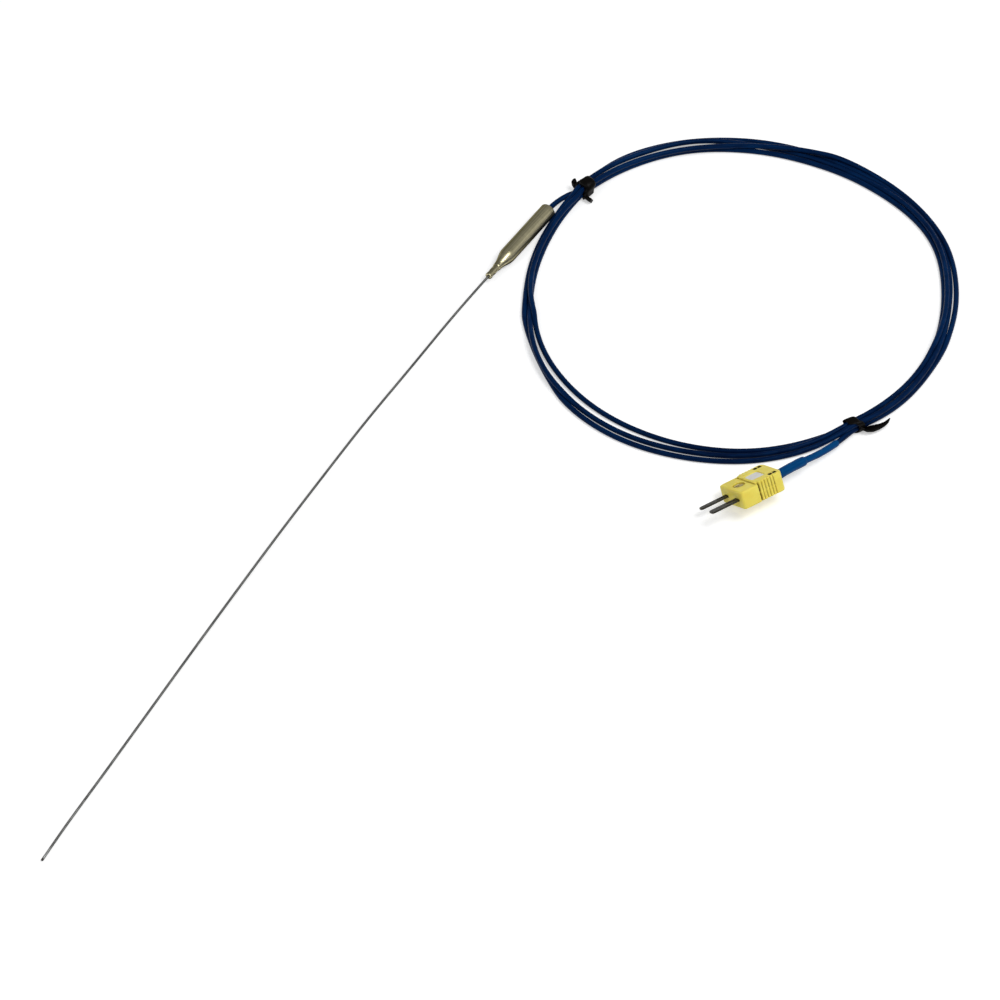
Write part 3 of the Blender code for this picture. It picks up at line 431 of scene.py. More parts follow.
class Finish:
    """A material and its nodes."""

    def __init__(self, name):
        self.material = bpy.data.materials.new(name)
        self.material.use_nodes = True
        self.tree = self.material.node_tree
        self.shader = self.tree.nodes["Principled BSDF"]
        self.places = self.node("ShaderNodeTexCoord").outputs["Object"]

    def feed(self, node, values):
        """Gives a node's inputs a constant each, or another node's output."""
        for name, value in values.items():
            if isinstance(value, bpy.types.NodeSocket):
                self.tree.links.new(value, node.inputs[name])
            else:
                node.inputs[name].default_value = value

    def node(self, kind, values=None, **settings):
        made = self.tree.nodes.new(kind)
        for key, value in settings.items():
            setattr(made, key, value)
        self.feed(made, values or {})
        return made

    def set(self, **values):
        """Sets the shader's inputs, whose names have _ for a space here."""
        self.feed(self.shader, {name.replace("_", " "): value for name, value in values.items()})

    def stretched(self, scale, source=None):
        """The object's coordinates, or the source's, stretched along the axes."""
        values = {"Vector": source or self.places, "Scale": scale}
        return self.node("ShaderNodeMapping", values).outputs["Vector"]

    def noise(self, scale, detail, roughness, stretch=None, source=None):
        vector = self.stretched(stretch, source) if stretch else self.places
        values = {"Vector": vector, "Scale": scale, "Detail": detail, "Roughness": roughness}
        return self.node("ShaderNodeTexNoise", values).outputs["Fac"]

    def tones(self, source, dark, light, low=NOISE_LOW, high=NOISE_HIGH):
        """A colour from dark to light, as the source goes from low to high."""
        made = self.node("ShaderNodeValToRGB", {"Fac": source})
        for element, at, colour in zip(made.color_ramp.elements, (low, high), (dark, light)):
            element.position = at
            element.color = (*colour, 1.0)
        return made.outputs["Color"]

    def range(self, source, low, high, first=0.0, last=1.0):
        """Goes from first to last, as the source goes from low to high."""
        values = {"Value": source, "From Min": low, "From Max": high, "To Min": first, "To Max": last}
        return self.node("ShaderNodeMapRange", values).outputs["Result"]

    def mix(self, factor, first, second):
        """Goes from the first colour to the second with the factor."""
        first, second = [(*c, 1.0) if isinstance(c, tuple) else c for c in (first, second)]
        values = {"Factor": factor, "A": first, "B": second}
        made = self.node("ShaderNodeMix", values, data_type="RGBA")
        return next(socket for socket in made.outputs if socket.type == "RGBA")

    def math(self, operation, first, second):
        return self.node("ShaderNodeMath", {0: first, 1: second}, operation=operation).outputs[0]

    def bump(self, height, distance, strength=1.0):
        values = {"Height": height, "Distance": distance, "Strength": strength}
        self.set(Normal=self.node("ShaderNodeBump", values).outputs["Normal"])

    def painted_shade_below(self, dark, body, low, high):
        """Painted shade: darkens what faces down, between two heights of the surface's normal."""
        normal = self.node("ShaderNodeNewGeometry").outputs["Normal"]
        split = self.node("ShaderNodeSeparateXYZ", {"Vector": normal})
        return self.mix(self.range(split.outputs["Z"], low, high), dark, body)

    def rough(self, source, smoothest, roughest):
        """Roughness between two values, over a noise's usual range."""
        self.set(Roughness=self.range(source, NOISE_LOW, NOISE_HIGH, smoothest, roughest))


def plastic(name, dark, light, rough, grain, bump, coat=0.0, shine=0.5):
    """Moulded plastic with a fine grain and a slight mottle."""
    made = Finish(name)
    colour = made.tones(made.noise(60, 5, 0.6), dark, light)
    fine = made.noise(grain, 3, 0.6)
    made.rough(fine, rough - 0.06, rough + 0.08)
    made.bump(fine, bump)
    made.set(Base_Color=colour, Coat_Weight=coat, Specular_IOR_Level=shine)
    return made.material


def drawn_metal(name, dark, light, rough, stretch=(40, 900, 900)):
    """Metal with fine marks along one direction."""
    made = Finish(name)
    marks = made.noise(1.0, 4, 0.6, stretch)
    made.rough(marks, rough - 0.07, rough + 0.08)
    made.bump(marks, MARK_DEPTH)
    made.set(Base_Color=made.tones(marks, dark, light), Metallic=1.0)
    return made.material


def lead_finish():
    """Navy jacket: satin, faintly streaked along its length, and rippled by the twist of its cores."""
    made = Finish("lead_navy")
    uv = made.node("ShaderNodeUVMap", uv_map="along").outputs["UV"]
    streaks = made.noise(1.0, 4, 0.5, (160, 9, 1), uv)
    tone = made.mix(0.5, made.noise(16, 3, 0.5), streaks)
    colour = made.tones(tone, (0.0006, 0.0065, 0.034), (0.0008, 0.020, 0.084), 0.38, 0.62)
    values = {"Vector": made.stretched((90, 0.16, 1), uv), "Scale": 1.0, "Distortion": 0.4}
    twist = made.node("ShaderNodeTexWave", values, wave_type="BANDS", bands_direction="X")
    made.bump(twist.outputs["Fac"], 0.00006, 0.6)
    made.rough(streaks, 0.3, 0.46)
    made.set(Base_Color=colour, Specular_IOR_Level=0.07, Specular_Tint=(0.3, 0.55, 1.0, 1.0))
    return made.material


def sleeve_finish():
    """Heat-shrunk blue tubing: satin, drawn tight with faint lengthwise wrinkles."""
    made = Finish("sleeve_shrunk_blue")
    uv = made.node("ShaderNodeUVMap", uv_map="along").outputs["UV"]
    wrinkles = made.noise(1.0, 5, 0.5, (180, 12, 1), uv)
    colour = made.tones(wrinkles, (0.0004, 0.042, 0.155), (0.0008, 0.068, 0.225))
    made.rough(wrinkles, 0.34, 0.5)
    made.bump(wrinkles, 0.00005, 0.7)
    made.set(Base_Color=colour, Specular_IOR_Level=0.10, Specular_Tint=(0.3, 0.6, 1.0, 1.0))
    return made.material


def sheath_finish():
    """Drawn metal sheath, dark, with a cleaner end, a weld at its tip and painted shade on the faces
    that point down.
    """
    made = Finish("sheath_drawn")
    marks = made.noise(1.0, 4, 0.6, (60, 900, 900))
    body = made.tones(marks, (0.17, 0.17, 0.165), (0.30, 0.30, 0.285))
    cleaner = made.tones(marks, (0.36, 0.36, 0.35), (0.52, 0.52, 0.51))
    along = made.node("ShaderNodeSeparateXYZ", {"Vector": made.places}).outputs["X"]
    end, weld = [
        made.range(along, SHEATH_TIP + near, SHEATH_TIP + far, 1, 0)
        for near, far in (CLEAN_FADE, WELD_FADE)
    ]
    whole = made.mix(weld, made.mix(end, body, cleaner), (0.06, 0.055, 0.05))
    made.rough(marks, 0.28, 0.45)
    made.bump(marks, MARK_DEPTH)
    # Painted shade: near-black on faces that point down, standing in for the shade below the sheath.
    made.set(Base_Color=made.painted_shade_below((0.03, 0.03, 0.03), whole, 0.25, 0.75), Metallic=1.0)
    return made.material


def pot_finish():
    """Steel in a warm satin tone: marks along it, faint rings from the lathe, and painted shade on the
    faces that point down.
    """
    made = Finish("pot_turned")
    rings = made.noise(1.0, 5, 0.65, (4200, 60, 60))
    tone = made.mix(0.8, rings, made.noise(1.0, 3, 0.6, (16, 900, 900)))
    body = made.tones(tone, (0.35, 0.32, 0.195), (0.67, 0.61, 0.40), 0.40, 0.60)
    # Painted shade: the body colour goes to near-black on faces that point down, standing in for the
    # shadowed floor that they reflect.
    colour = made.painted_shade_below((0.035, 0.032, 0.016), body, -0.28, 0.16)
    made.rough(tone, 0.26, 0.40)
    made.bump(tone, 0.000003)
    made.set(Base_Color=colour, Metallic=1.0, Specular_Tint=(0.05, 0.045, 0.03, 1.0))
    return made.material


def plug_finish():
    """Moulded yellow plastic, satin, with a fine grain and faint flow marks, and painted shade that
    darkens its grooves and recesses.
    """
    made = Finish("plug_moulded")
    flow = made.noise(1.0, 4, 0.55, (120, 320, 320))
    body = made.tones(flow, (0.91, 0.735, 0.10), (0.98, 0.84, 0.15))
    # Painted shade: ambient occlusion takes the colour towards near-black brown in grooves, slots and
    # recesses, where shade falls.
    values = {"Distance": 0.0016}
    near = made.node("ShaderNodeAmbientOcclusion", values, samples=8, only_local=True).outputs["AO"]
    painted_crevice_shade = made.mix(made.range(near, 0.05, 0.45), (0.006, 0.004, 0.0006), (0.22, 0.13, 0.008))
    colour = made.mix(made.range(near, 0.35, 0.85), painted_crevice_shade, body)
    grain = made.noise(2600, 2, 0.5)
    made.rough(grain, 0.36, 0.5)
    made.bump(grain, 0.000012)
    made.set(Base_Color=colour, Specular_IOR_Level=0.25)
    made.set(Subsurface_Weight=0.06, Subsurface_Scale=0.0006)
    return made.material


LEAD = lead_finish()
SLEEVE = sleeve_finish()
SHEATH = sheath_finish()
POT = pot_finish()
YELLOW = plug_finish()
# Painted shade: a near-black plastic for the faces inside the rear slots, where there is only shade.
PAINTED_SLOT_SHADE = plastic(
    "plug_slot_painted_shade", (0.006, 0.004, 0.001), (0.016, 0.010, 0.002), 0.6, 1400, 0.00001, shine=0.1
)
TIE = plastic(
    "tie_nylon", (0.0012, 0.001, 0.001), (0.004, 0.0034, 0.0028), 0.36, 1400, 0.00002, shine=0.08
)
LABEL = plastic("label_plate", (0.80, 0.79, 0.75), (0.88, 0.87, 0.83), 0.5, 2400, 0.00001, shine=0.2)
RESIN = plastic("resin_cast", (0.03, 0.03, 0.034), (0.05, 0.05, 0.056), 0.34, 500, 0.00003, 0.3)
PIN = drawn_metal("pin_metal", (0.035, 0.034, 0.028), (0.10, 0.096, 0.08), 0.36, (300, 1800, 1800))
PLATED = drawn_metal("plated_metal", (0.5, 0.5, 0.49), (0.66, 0.66, 0.65), 0.3, (700, 700, 700))
PASSIVATED = drawn_metal(
    "screw_passivated", (0.60, 0.50, 0.20), (0.74, 0.63, 0.28), 0.34, (600, 600, 600)
)
COPPER = drawn_metal("wire_positive_metal", (0.5, 0.37, 0.27), (0.62, 0.48, 0.37), 0.34)
NICKEL = drawn_metal("wire_negative_metal", (0.52, 0.52, 0.51), (0.66, 0.66, 0.65), 0.34)


# Sheath and pot


def make_sheath():
    floor = SHEATH_DIAMETER / 2
    stops = [(SHEATH_SEAT, 0.0, POT_AXIS), (0.0, 0.0, POT_AXIS)]
    for x, y in SHEATH_STOPS:
        share = 1 + x / SHEATH_TOUCHDOWN
        stops.append((x, y, smooth_between(floor, POT_AXIS, share)))
    points = smooth_route(stops, SHEATH_STEP)
    ahead = (points[-1] - points[-2]).normalized()
    radii = [floor] * len(points)
    end = points[-1]
    for angle in TIP_ANGLES:
        turn = math.radians(angle)
        points.append(end + ahead * floor * math.sin(turn))
        radii.append(floor * math.cos(turn))
    mesh = tube("sheath_tube", points, radii, SHEATH_SIDES)
    place("sheath_tube", mesh, PROBE, SHEATH, "sheath_steel", "sheath")


def make_pot():
    """The pot with its crimped neck, rounded shoulders and open rear."""
    neck = NECK_DIAMETER / 2
    bore = SHEATH_DIAMETER / 2 + FINE
    inside = POT_AXIS - POT_WALL
    outline = [(SEAM_DEPTH, bore), (FINE, bore), (0.0, bore + FINE)]
    outline += [(0.0, neck - ROUNDING), (FINE, neck - FINE), (ROUNDING, neck)]
    for i in range(1, NECK_RINGS):
        outline.append((ROUNDING + (NECK_LENGTH - ROUNDING) * i / NECK_RINGS, neck))
    outline += [(NECK_LENGTH, neck), (NECK_LENGTH + FINE, neck + 0.00018)]
    outline.append((NECK_LENGTH + 0.00035, neck + 0.00028))
    outline.append((CONE_START - 0.0002, neck + CONE_RISE))
    for i in range(CONE_RINGS + 1):
        share = i / CONE_RINGS
        along = CONE_START + (CONE_END - CONE_START) * share
        outline.append((along, smooth_between(neck + CONE_RISE, POT_AXIS, share)))
    for i in range(1, BARREL_RINGS):
        share = i / BARREL_RINGS
        outline.append((CONE_END + (POT_LENGTH - 0.0004 - CONE_END) * share, POT_AXIS))
    for angle in (0, 30, 60, 90):
        turn = math.radians(angle)
        along = POT_LENGTH - ROUNDING + ROUNDING * math.sin(turn)
        outline.append((along, POT_AXIS - ROUNDING * (1 - math.cos(turn))))
    outline += [(POT_LENGTH, inside + FINE), (POT_LENGTH - FINE, inside)]
    outline += [(SHEATH_SEAT + CAVITY_CONE_LENGTH, inside), (SHEATH_SEAT, bore)]

    def crimped(along, angle, radius):
        """Presses the flats into the neck, and leaves its bore and all behind it as they are."""
        if radius < neck / 2 or along > NECK_LENGTH:
            return radius
        depth = 0.0
        for centre, turn in CRIMP_ROWS:
            near = max(0.0, 1 - ((along - centre) / CRIMP_REACH) ** 2)
            lobe = max(0.0, math.cos(2 * (angle - turn))) ** 2
            depth += near * lobe
        return radius - CRIMP_DEPTH * depth

    mesh = turned("pot_body", outline, POT_SIDES, hollow=True, shaping=crimped)
    matrix = PROBE @ Matrix.Translation((0, 0, POT_AXIS))
    place("pot_body", mesh, matrix, POT, "pot_steel", "transition_pot")


# Lead


# The bundle's lanes round the coil, by azimuth in degrees: centre radius of the inner and of the
# outer lane in mm, and height of its underside in mm.
LANES = (
    (84.3, 86.9, 89.2, 0.6), (77.1, 88.2, 90.4, 1.1), (60.9, 90.2, 96.8, 0), (44.5, 91.0, 96.4, 0),
    (29.9, 89.1, 95.0, 0), (8.4, 86.7, 92.9, 0), (-9.1, 86.5, 92.5, 0), (-31.5, 87.2, 91.7, 0),
    (-59.1, 83.0, 88.3, 0), (-72.0, 82.9, 86.9, 0), (-86.8, 84.0, 86.5, 0), (-94.0, 84.0, 87.6, 0),
    (-103.0, 84.7, 88.6, 0), (-118.1, 87.0, 89.2, 1.1), (-125.0, 86.6, 90.4, 0.3),
    (-135.0, 88.1, 93.0, 0), (-148.9, 89.5, 95.2, 0), (-158.0, 89.1, 95.5, 0), (-166.0, 89.0, 95.8, 0),
    (-174.0, 88.4, 96.2, 0), (-182.0, 88.1, 96.1, 0), (-190.0, 87.7, 95.3, 0), (-197.7, 87.1, 94.2, 0),
    (-206.0, 86.4, 90.9, 0), (-214.0, 86.0, 89.3, 0), (-222.9, 85.3, 88.2, 0), (-230.0, 85.4, 87.2, 0),
    (-237.3, 84.5, 86.4, 0), (-246.0, 84.4, 86.6, 0), (-254.0, 84.3, 86.9, 0), (-262.0, 84.7, 87.4, 0),
    (-270.0, 86.1, 88.0, 0.3), (-275.7, 87.0, 89.3, 0.6),
)
# Each pass of the lead, from the pot to the plug: azimuth, share of the way from the inner to the
# outer lane, and layer. A pass starts and ends in a tie.
PASSES = (
    ((77.1, 1, 0), (60, 1, 0), (16, 1, 0), (-8, 0.67, 0), (-32, 0.5, 0), (-50, 0.57, 0),
     (-56, 0.52, 0), (-62, 0.36, 0), (-68, 0.36, 0), (-75, 0.6, 0.4), (-86, 0.75, 1), (-118.1, 1, 1)),
    ((-118.1, 1, 1), (-130, 1, 0), (-178, 1, 0), (-269, 1, 0), (-282.9, 1, 1)),
    ((77.1, 1, 1), (64, 0.6, 0.9), (55, 0.42, 0.9), (46, 0.78, 0.85), (38, 0.78, 0.85),
     (28, 0.5, 0.0), (16, 0.5, 0), (-8, 0.35, 0), (-20, 0.35, 0.5), (-32, 0.25, 1), (-58, 0.25, 1),
     (-86, 0.2, 1), (-118.1, 0, 1)),
    ((-118.1, 0, 1), (-132, 0.45, 0.2), (-148, 0.48, 0), (-160, 0.46, 0), (-166, 0.49, 0),
     (-174, 0.56, 0), (-182, 0.61, 0), (-190, 0.59, 0), (-197, 0.8, 0.3), (-204, 1.2, 1.1),
     (-218, 1.25, 1.1), (-226, 0.8, 0.8), (-232, 0.35, 0.3), (-238, 0.1, 0), (-246, 0, 0),
     (-282.9, 0, 0)),
    ((77.1, 0, 0), (-118.1, 0, 0)),
    ((-118.1, 0, 0), (-222, 0, 0), (-228, 0.05, 0.35), (-234, 0.1, 0.95), (-240, 0.4, 0.9),
     (-248, 0.5, 0.9), (-268, 0.3, 1), (-282.9, 0, 1)),
    ((77.1, 0, 1), (60, 0, 1), (46, -0.2, 1.1), (38, -0.2, 1.1), (22, 0.25, 0.8), (16, 0.6, 1),
     (8, 0.85, 0.9), (0, 1, 0.2), (-8, 1, 0), (-103, 1, 0), (-118.1, 1, 0)),
)
AZIMUTH_STEP = 3.0
TURN_STEPS = round(360 / AZIMUTH_STEP)
FULL_TURNS = 3
# A strand that lies on two others sits lower than one that lies on top of one, as it does in a tie
NESTED_LIFT = 0.87
TIED_EXTRA_LIFT = 0.13
TIED_BASE_MM = 1.1
# How the strands settle: rounds, the last of them with no pull to the lanes, and the share of each
# correction that a round makes
SETTLING_ROUNDS = 700
PULLED_ROUNDS = 640
LANE_PULL = 0.03
SMOOTHING = 0.16
LATE_SMOOTHING = 0.15
PUSH_SHARE = 0.8
CONTACT = LEAD_DIAMETER * 0.995
LEAST_DISTANCE = 1e-6
TIE_HOLD = 1.6


def lane_spot(stops, azimuth):
    """Radius and height of a pass at an azimuth."""
    share, layer = eased(stops, azimuth)
    lap = azimuth
    while lap < LANES[-1][0]:
        lap += 360
    inner, outer, base = eased(LANES, lap)
    lift = LEAD_DIAMETER * (NESTED_LIFT + TIED_EXTRA_LIFT * min(1, base / TIED_BASE_MM))
    radius = (inner + share * (outer - inner)) / 1000
    return radius, base / 1000 + LEAD_RADIUS + layer * lift


def polar(stop):
    """Azimuth, radius and height of a place as seen from the coil's centre."""
    x = stop[0] - COIL_CENTRE[0]
    y = stop[1] - COIL_CENTRE[1]
    return math.degrees(math.atan2(y, x)), math.hypot(x, y), stop[2]


def wound_coil():
    """The lead's places round the coil, with strands that touch and don't cross.

    Every strand starts in its lane. Strands that are nearer than a diameter at the same azimuth are
    then pushed apart in small steps, while each is drawn to its lane, smoothed and kept on the floor.
    """
    first = polar(LEAD_STOPS[-2])[0]
    all_turns = FULL_TURNS * 360
    ending = polar(TAIL_STOPS[1])[0] - all_turns
    after_last = TIE_LOWER_AZIMUTH - all_turns
    entry = sorted((polar(stop) for stop in LEAD_STOPS[1:]), reverse=True)
    entry.append((TIE_UPPER_AZIMUTH, *lane_spot(PASSES[0], TIE_UPPER_AZIMUTH)))
    leaving = [(after_last, TIE_LOWER_RADIUS + TIED_LANES / 2, TIED_BASE + LEAD_RADIUS)]
    leaving += [(a - all_turns, r, z) for a, r, z in (polar(stop) for stop in TAIL_STOPS[:2])]
    count = int((first - ending) / AZIMUTH_STEP) + 1
    azimuths = first - AZIMUTH_STEP * np.arange(count)
    aims = np.zeros((count, 2))
    pinned = np.zeros(count, bool)
    for k, azimuth in enumerate(azimuths):
        if azimuth > TIE_UPPER_AZIMUTH or azimuth < after_last:
            aims[k] = eased(entry if azimuth > TIE_UPPER_AZIMUTH else leaving, azimuth)
            pinned[k] = True
            continue
        lap = int((TIE_UPPER_AZIMUTH - azimuth) // 360)
        local = azimuth + 360 * lap
        aims[k] = lane_spot(PASSES[2 * lap + (local < TIE_LOWER_AZIMUTH)], local)
        ties = (TIE_UPPER_AZIMUTH, TIE_LOWER_AZIMUTH, TIE_UPPER_AZIMUTH - 360)
        pinned[k] = any(abs(local - tie) < TIE_HOLD for tie in ties)
    spots = aims.copy()
    for step in range(SETTLING_ROUNDS):
        push = np.zeros_like(spots)
        for laps in range(1, FULL_TURNS + 1):
            shift = laps * TURN_STEPS
            apart = spots[shift:] - spots[:-shift]
            distance = np.maximum(np.linalg.norm(apart, axis=1), LEAST_DISTANCE)
            lack = np.maximum(0.0, CONTACT - distance)
            move = apart / distance[:, None] * (0.5 * lack)[:, None]
            push[shift:] += move
            push[:-shift] -= move
        drawn = LANE_PULL * (aims - spots)
        even = np.zeros_like(spots)
        even[1:-1] = SMOOTHING * ((spots[:-2] + spots[2:]) / 2 - spots[1:-1])
        change = push * PUSH_SHARE + (drawn + even if step < PULLED_ROUNDS else even * LATE_SMOOTHING)
        change[pinned] = 0.0
        spots = spots + change
        spots[:, 1] = np.maximum(spots[:, 1], LEAD_RADIUS)
    angles = np.radians(azimuths)
    return [
        Vector((COIL_CENTRE[0] + r * math.cos(a), COIL_CENTRE[1] + r * math.sin(a), z))
        for a, (r, z) in zip(angles, spots)
    ]


def lead_route():
    """The whole lead, from inside the pot to inside the plug."""
    stops = [Vector((LEAD_START, 0, POT_AXIS)), Vector((POT_LENGTH - 0.002, 0, POT_AXIS))]
    stops.append(Vector(LEAD_STOPS[0]))
    stops += wound_coil()
    stops += [Vector(stop) for stop in TAIL_STOPS[2:]]
    stops += [PLUG_IN_PROBE @ Vector((-depth, 0, 0)) for depth in (PLUG_LENGTH, CAVITY_REAR)]
    return smooth_route(stops, LEAD_STEP)


def make_lead(points):
    mesh = tube("lead_cable", points, [LEAD_RADIUS] * len(points), LEAD_SIDES)
    nodes = ("lead_tube", "lead_coil", "lead_tail")
    return place("lead_cable", mesh, PROBE, LEAD, "lead_jacket", *nodes)


# Sleeves


def route_from(points, start, end, step):
    """The part of a route between two distances along it."""
    count = max(2, round((end - start) / step))
    kept = []
    for i in range(count + 1):
        left = start + (end - start) * i / count
        for a, b in zip(points, points[1:]):
            span = (b - a).length
            if left <= span:
                break
            left -= span
        kept.append(a + (b - a) * min(1.0, left / span))
    return kept


def make_sleeves(points):
    """Two heat-shrink sleeves on the lead, measured from the plug's rear."""
    entry = PLUG_IN_PROBE @ Vector((-HOUSING_REAR, 0, 0))
    back = points[::-1]
    start = min(range(NEAR_PLUG), key=lambda i: (back[i] - entry).length)
    for name, node, length, radius, under in SLEEVES:
        line = route_from(back[start:], FINE, length, SLEEVE_STEP)
        count = len(line)
        radii = []
        for i in range(count):
            along = i * SLEEVE_STEP
            rim = min(1.0, (count - 1 - i) * SLEEVE_STEP / SLEEVE_RIM)
            swell = SLEEVE_SWELL * math.sin(along * 900) * math.sin(along * 310 + 1)
            radii.append(under + (radius - under) * (0.45 + 0.55 * math.sqrt(rim)) + swell)
        mesh = tube(name, line, radii, LEAD_SIDES)
        place(name, mesh, PROBE, SLEEVE, "sleeve_blue", node)


# Ties


def tie_seat(azimuth, radius):
    """A tie's own frame: +X away from the coil's centre, +Y along the bundle, and z = 0 the floor."""
    turn = math.radians(azimuth)
    spot = Matrix.Translation((radius * math.cos(turn), radius * math.sin(turn), 0))
    return COIL @ spot @ Matrix.Rotation(turn, 4, "Z")


def tie_band(name, widths, heights, shifts, fullness):
    """A moulded band round the bundle. Its width, thickness and shift along the bundle vary round it.

    Places round the band are angles: 0 on the side away from the coil's centre, 90 on the crown.
    """
    half_wide = (TIED_LANES + LEAD_DIAMETER) / 2 + TIE_GAP
    half_high = LEAD_DIAMETER + TIE_GAP
    middle = TIED_BASE + LEAD_DIAMETER
    path = []
    for i in range(BAND_STEPS):
        turn = 2 * math.pi * i / BAND_STEPS
        c, s = math.cos(turn), math.sin(turn)
        wide = half_wide * math.copysign(abs(c) ** BAND_SQUARENESS, c)
        high = half_high * math.copysign(abs(s) ** BAND_SQUARENESS, s)
        path.append(Vector((wide, 0, middle + high)))
    sections = []
    for i, point in enumerate(path):
        along = (path[(i + 1) % BAND_STEPS] - path[i - 1]).normalized()
        out = Vector((along.z, 0, -along.x))
        at = 360 * i / BAND_STEPS
        half = eased(widths, at)[0] / 2
        height = eased(heights, at)[0]
        shift = eased(shifts, at)[0]
        bulge = eased(fullness, at)[0]
        ring = [point + Vector((0, shift + v * half, 0)) for v in (-1.0, 0.0, 1.0)]
        for k in range(BAND_SAMPLES + 1):
            v = math.cos(math.pi * k / BAND_SAMPLES)
            arch = max(0.0, 1 - abs(v) ** bulge) ** (1 / bulge)
            spot = point + out * (height * (BAND_RIM + (1 - BAND_RIM) * arch))
            spot.z = max(spot.z, 0.0)
            ring.append(spot + Vector((0, shift + v * half, 0)))
        sections.append(ring)
    return lofted(name, sections, closed=True, sharp=TIE_SHARP)


# Places round a strip's section, in halves of its width and of its thickness
STRIP_SECTION = (
    (-1, -0.45), (-0.86, -1), (0, -1.1), (0.86, -1), (1, -0.45),
    (1, 0.45), (0.86, 1), (0, 0.8), (-0.86, 1), (-1, 0.45),
)


def tie_strip(name, stops, widths, thickness, flat):
    """A tie's free end as a bent blade along stops, with its stops and widths in millimetres.

    The values of flat turn its broad side from upright, 0 degrees, to level, 90.
    """
    points = smooth_route([Vector(stop) / 1000 for stop in stops], STRIP_STEP)
    sections = []
    count = len(points) - 1
    for i, (point, along) in enumerate(zip(points, headings(points))):
        share = i / count
        across = along.cross(Vector((0, 0, 1))).normalized()
        upright = across.cross(along)
        turn = math.radians(eased(flat, share)[0])
        broad = upright * math.cos(turn) + across * math.sin(turn)
        thin = broad.cross(along)
        half = eased(widths, share)[0] / 2000
        edge = thickness / 2 * (0.55 + 0.45 * min(1.0, half / 0.0008))
        sections.append([point + broad * half * v + thin * edge * t for v, t in STRIP_SECTION])
    return lofted(name, sections, sharp=TIE_SHARP)


def joined(name, meshes):
    """One mesh out of several closed ones that overlap."""
    target = added("scratch", meshes[0])
    combined(target, "UNION", *meshes[1:])
    mesh = shaded(taken(target), TIE_SHARP)
    mesh.name = name
    return mesh


def make_ties():
    seat = tie_seat(TIE_UPPER_AZIMUTH, TIE_UPPER_RADIUS)
    band = tie_band(
        "upper_band",
        ((0, 0.0025), (55, 0.0030), (85, 0.0056), (150, 0.0056), (190, 0.0054), (225, 0.0040),
         (262, 0.0026), (360, 0.0025)),
        ((0, 0.0008), (50, 0.0010), (90, 0.0021), (150, 0.0020), (185, 0.0017), (225, 0.0012),
         (262, 0.0008), (360, 0.0008)),
        ((0, 0.0), (90, -0.0021), (135, -0.0019), (185, -0.0005), (225, 0.0004), (300, 0.0),
         (360, 0.0)),
        ((0, 8), (50, 6), (90, 3.2), (150, 3.0), (200, 5), (240, 8), (360, 8)),
    )
    stub = tie_strip(
        "upper_stub",
        ((-2.4, 1.0, 1.9), (-3.2, 1.25, 1.75), (-4.4, 1.35, 1.6), (-6.3, 1.1, 1.45)),
        ((0, 2.5), (0.3, 2.3), (1, 2.3)),
        0.0016,
        ((0, 25), (1, 35)),
    )
    ear = tie_strip(
        "upper_ear",
        ((2.5, 0.2, 2.3), (3.7, 0.3, 2.7), (4.8, 0.1, 3.7), (5.2, -0.6, 5.4)),
        ((0, 2.4), (0.4, 2.4), (0.75, 2.2), (1, 0.7)),
        0.0011,
        ((0, 90), (1, 75)),
    )
    mesh = joined("tie_upper", [band, stub, ear])
    place("tie_upper", mesh, seat, TIE, "tie_black", "cable_tie_upper")
    seat = tie_seat(TIE_LOWER_AZIMUTH, TIE_LOWER_RADIUS)
    band = tie_band(
        "lower_band",
        ((0, 0.0028), (55, 0.0030), (90, 0.0046), (150, 0.0048), (195, 0.0030), (240, 0.0026),
         (360, 0.0028)),
        ((0, 0.0008), (60, 0.0008), (95, 0.0006), (150, 0.0007), (195, 0.0008), (300, 0.0008),
         (360, 0.0008)),
        ((0, 0.0022), (45, 0.0014), (90, -0.0006), (150, -0.0016), (200, -0.0016), (270, 0.0),
         (330, 0.0020), (360, 0.0022)),
        ((0, 8), (60, 6), (95, 3.4), (150, 3.2), (200, 6), (360, 8)),
    )
    tail = tie_strip(
        "lower_tail",
        ((2.6, 1.0, 2.6), (3.2, 3.2, 1.8), (3.7, 5.2, 1.5), (4.3, 8.0, 1.6), (4.6, 10.6, 1.9),
         (4.4, 12.8, 2.3), (3.7, 14.7, 2.9)),
        ((0, 2.8), (0.15, 4.0), (0.33, 4.6), (0.5, 3.6), (0.68, 2.5), (0.85, 1.5), (1, 0.35)),
        0.0009,
        ((0, 20), (0.2, 70), (0.5, 80), (1, 70)),
    )
    mesh = joined("tie_lower", [band, tail])
    place("tie_lower", mesh, seat, TIE, "tie_black", "cable_tie_lower")


# Plug


def both_sides(side):
    return side + [(x, -y) for x, y in reversed(side)]


def grip_side(half, back):
    """One side of the rear part in plan, from the groove behind the front block to its rear corner."""
    groove = half - GRIP_SETBACK
    rear = half - REAR_SETBACK
    start = FRONT_LENGTH + GRIP_GROOVE
    side = [(-FRONT_LENGTH + STEP_REACH - back, groove), (-start + FINE, groove)]
    for k in range(RIB_COUNT):
        for i in range(RIB_SAMPLES):
            share = (i + 0.5) / RIB_SAMPLES
            swell = math.sin(math.pi * share) ** 0.4
            side.append((-start - (k + share) * RIB_PITCH, groove + RIB_HEIGHT * swell))
    end = start + RIB_COUNT * RIB_PITCH
    side += [(-end - FINE, groove + RIB_HEIGHT * 0.7), (-end - ROUNDING, rear)]
    radius = REAR_CORNER - back
    return side + arc((-HOUSING_REAR + back + radius, rear - radius), radius, 90, 180, 8)


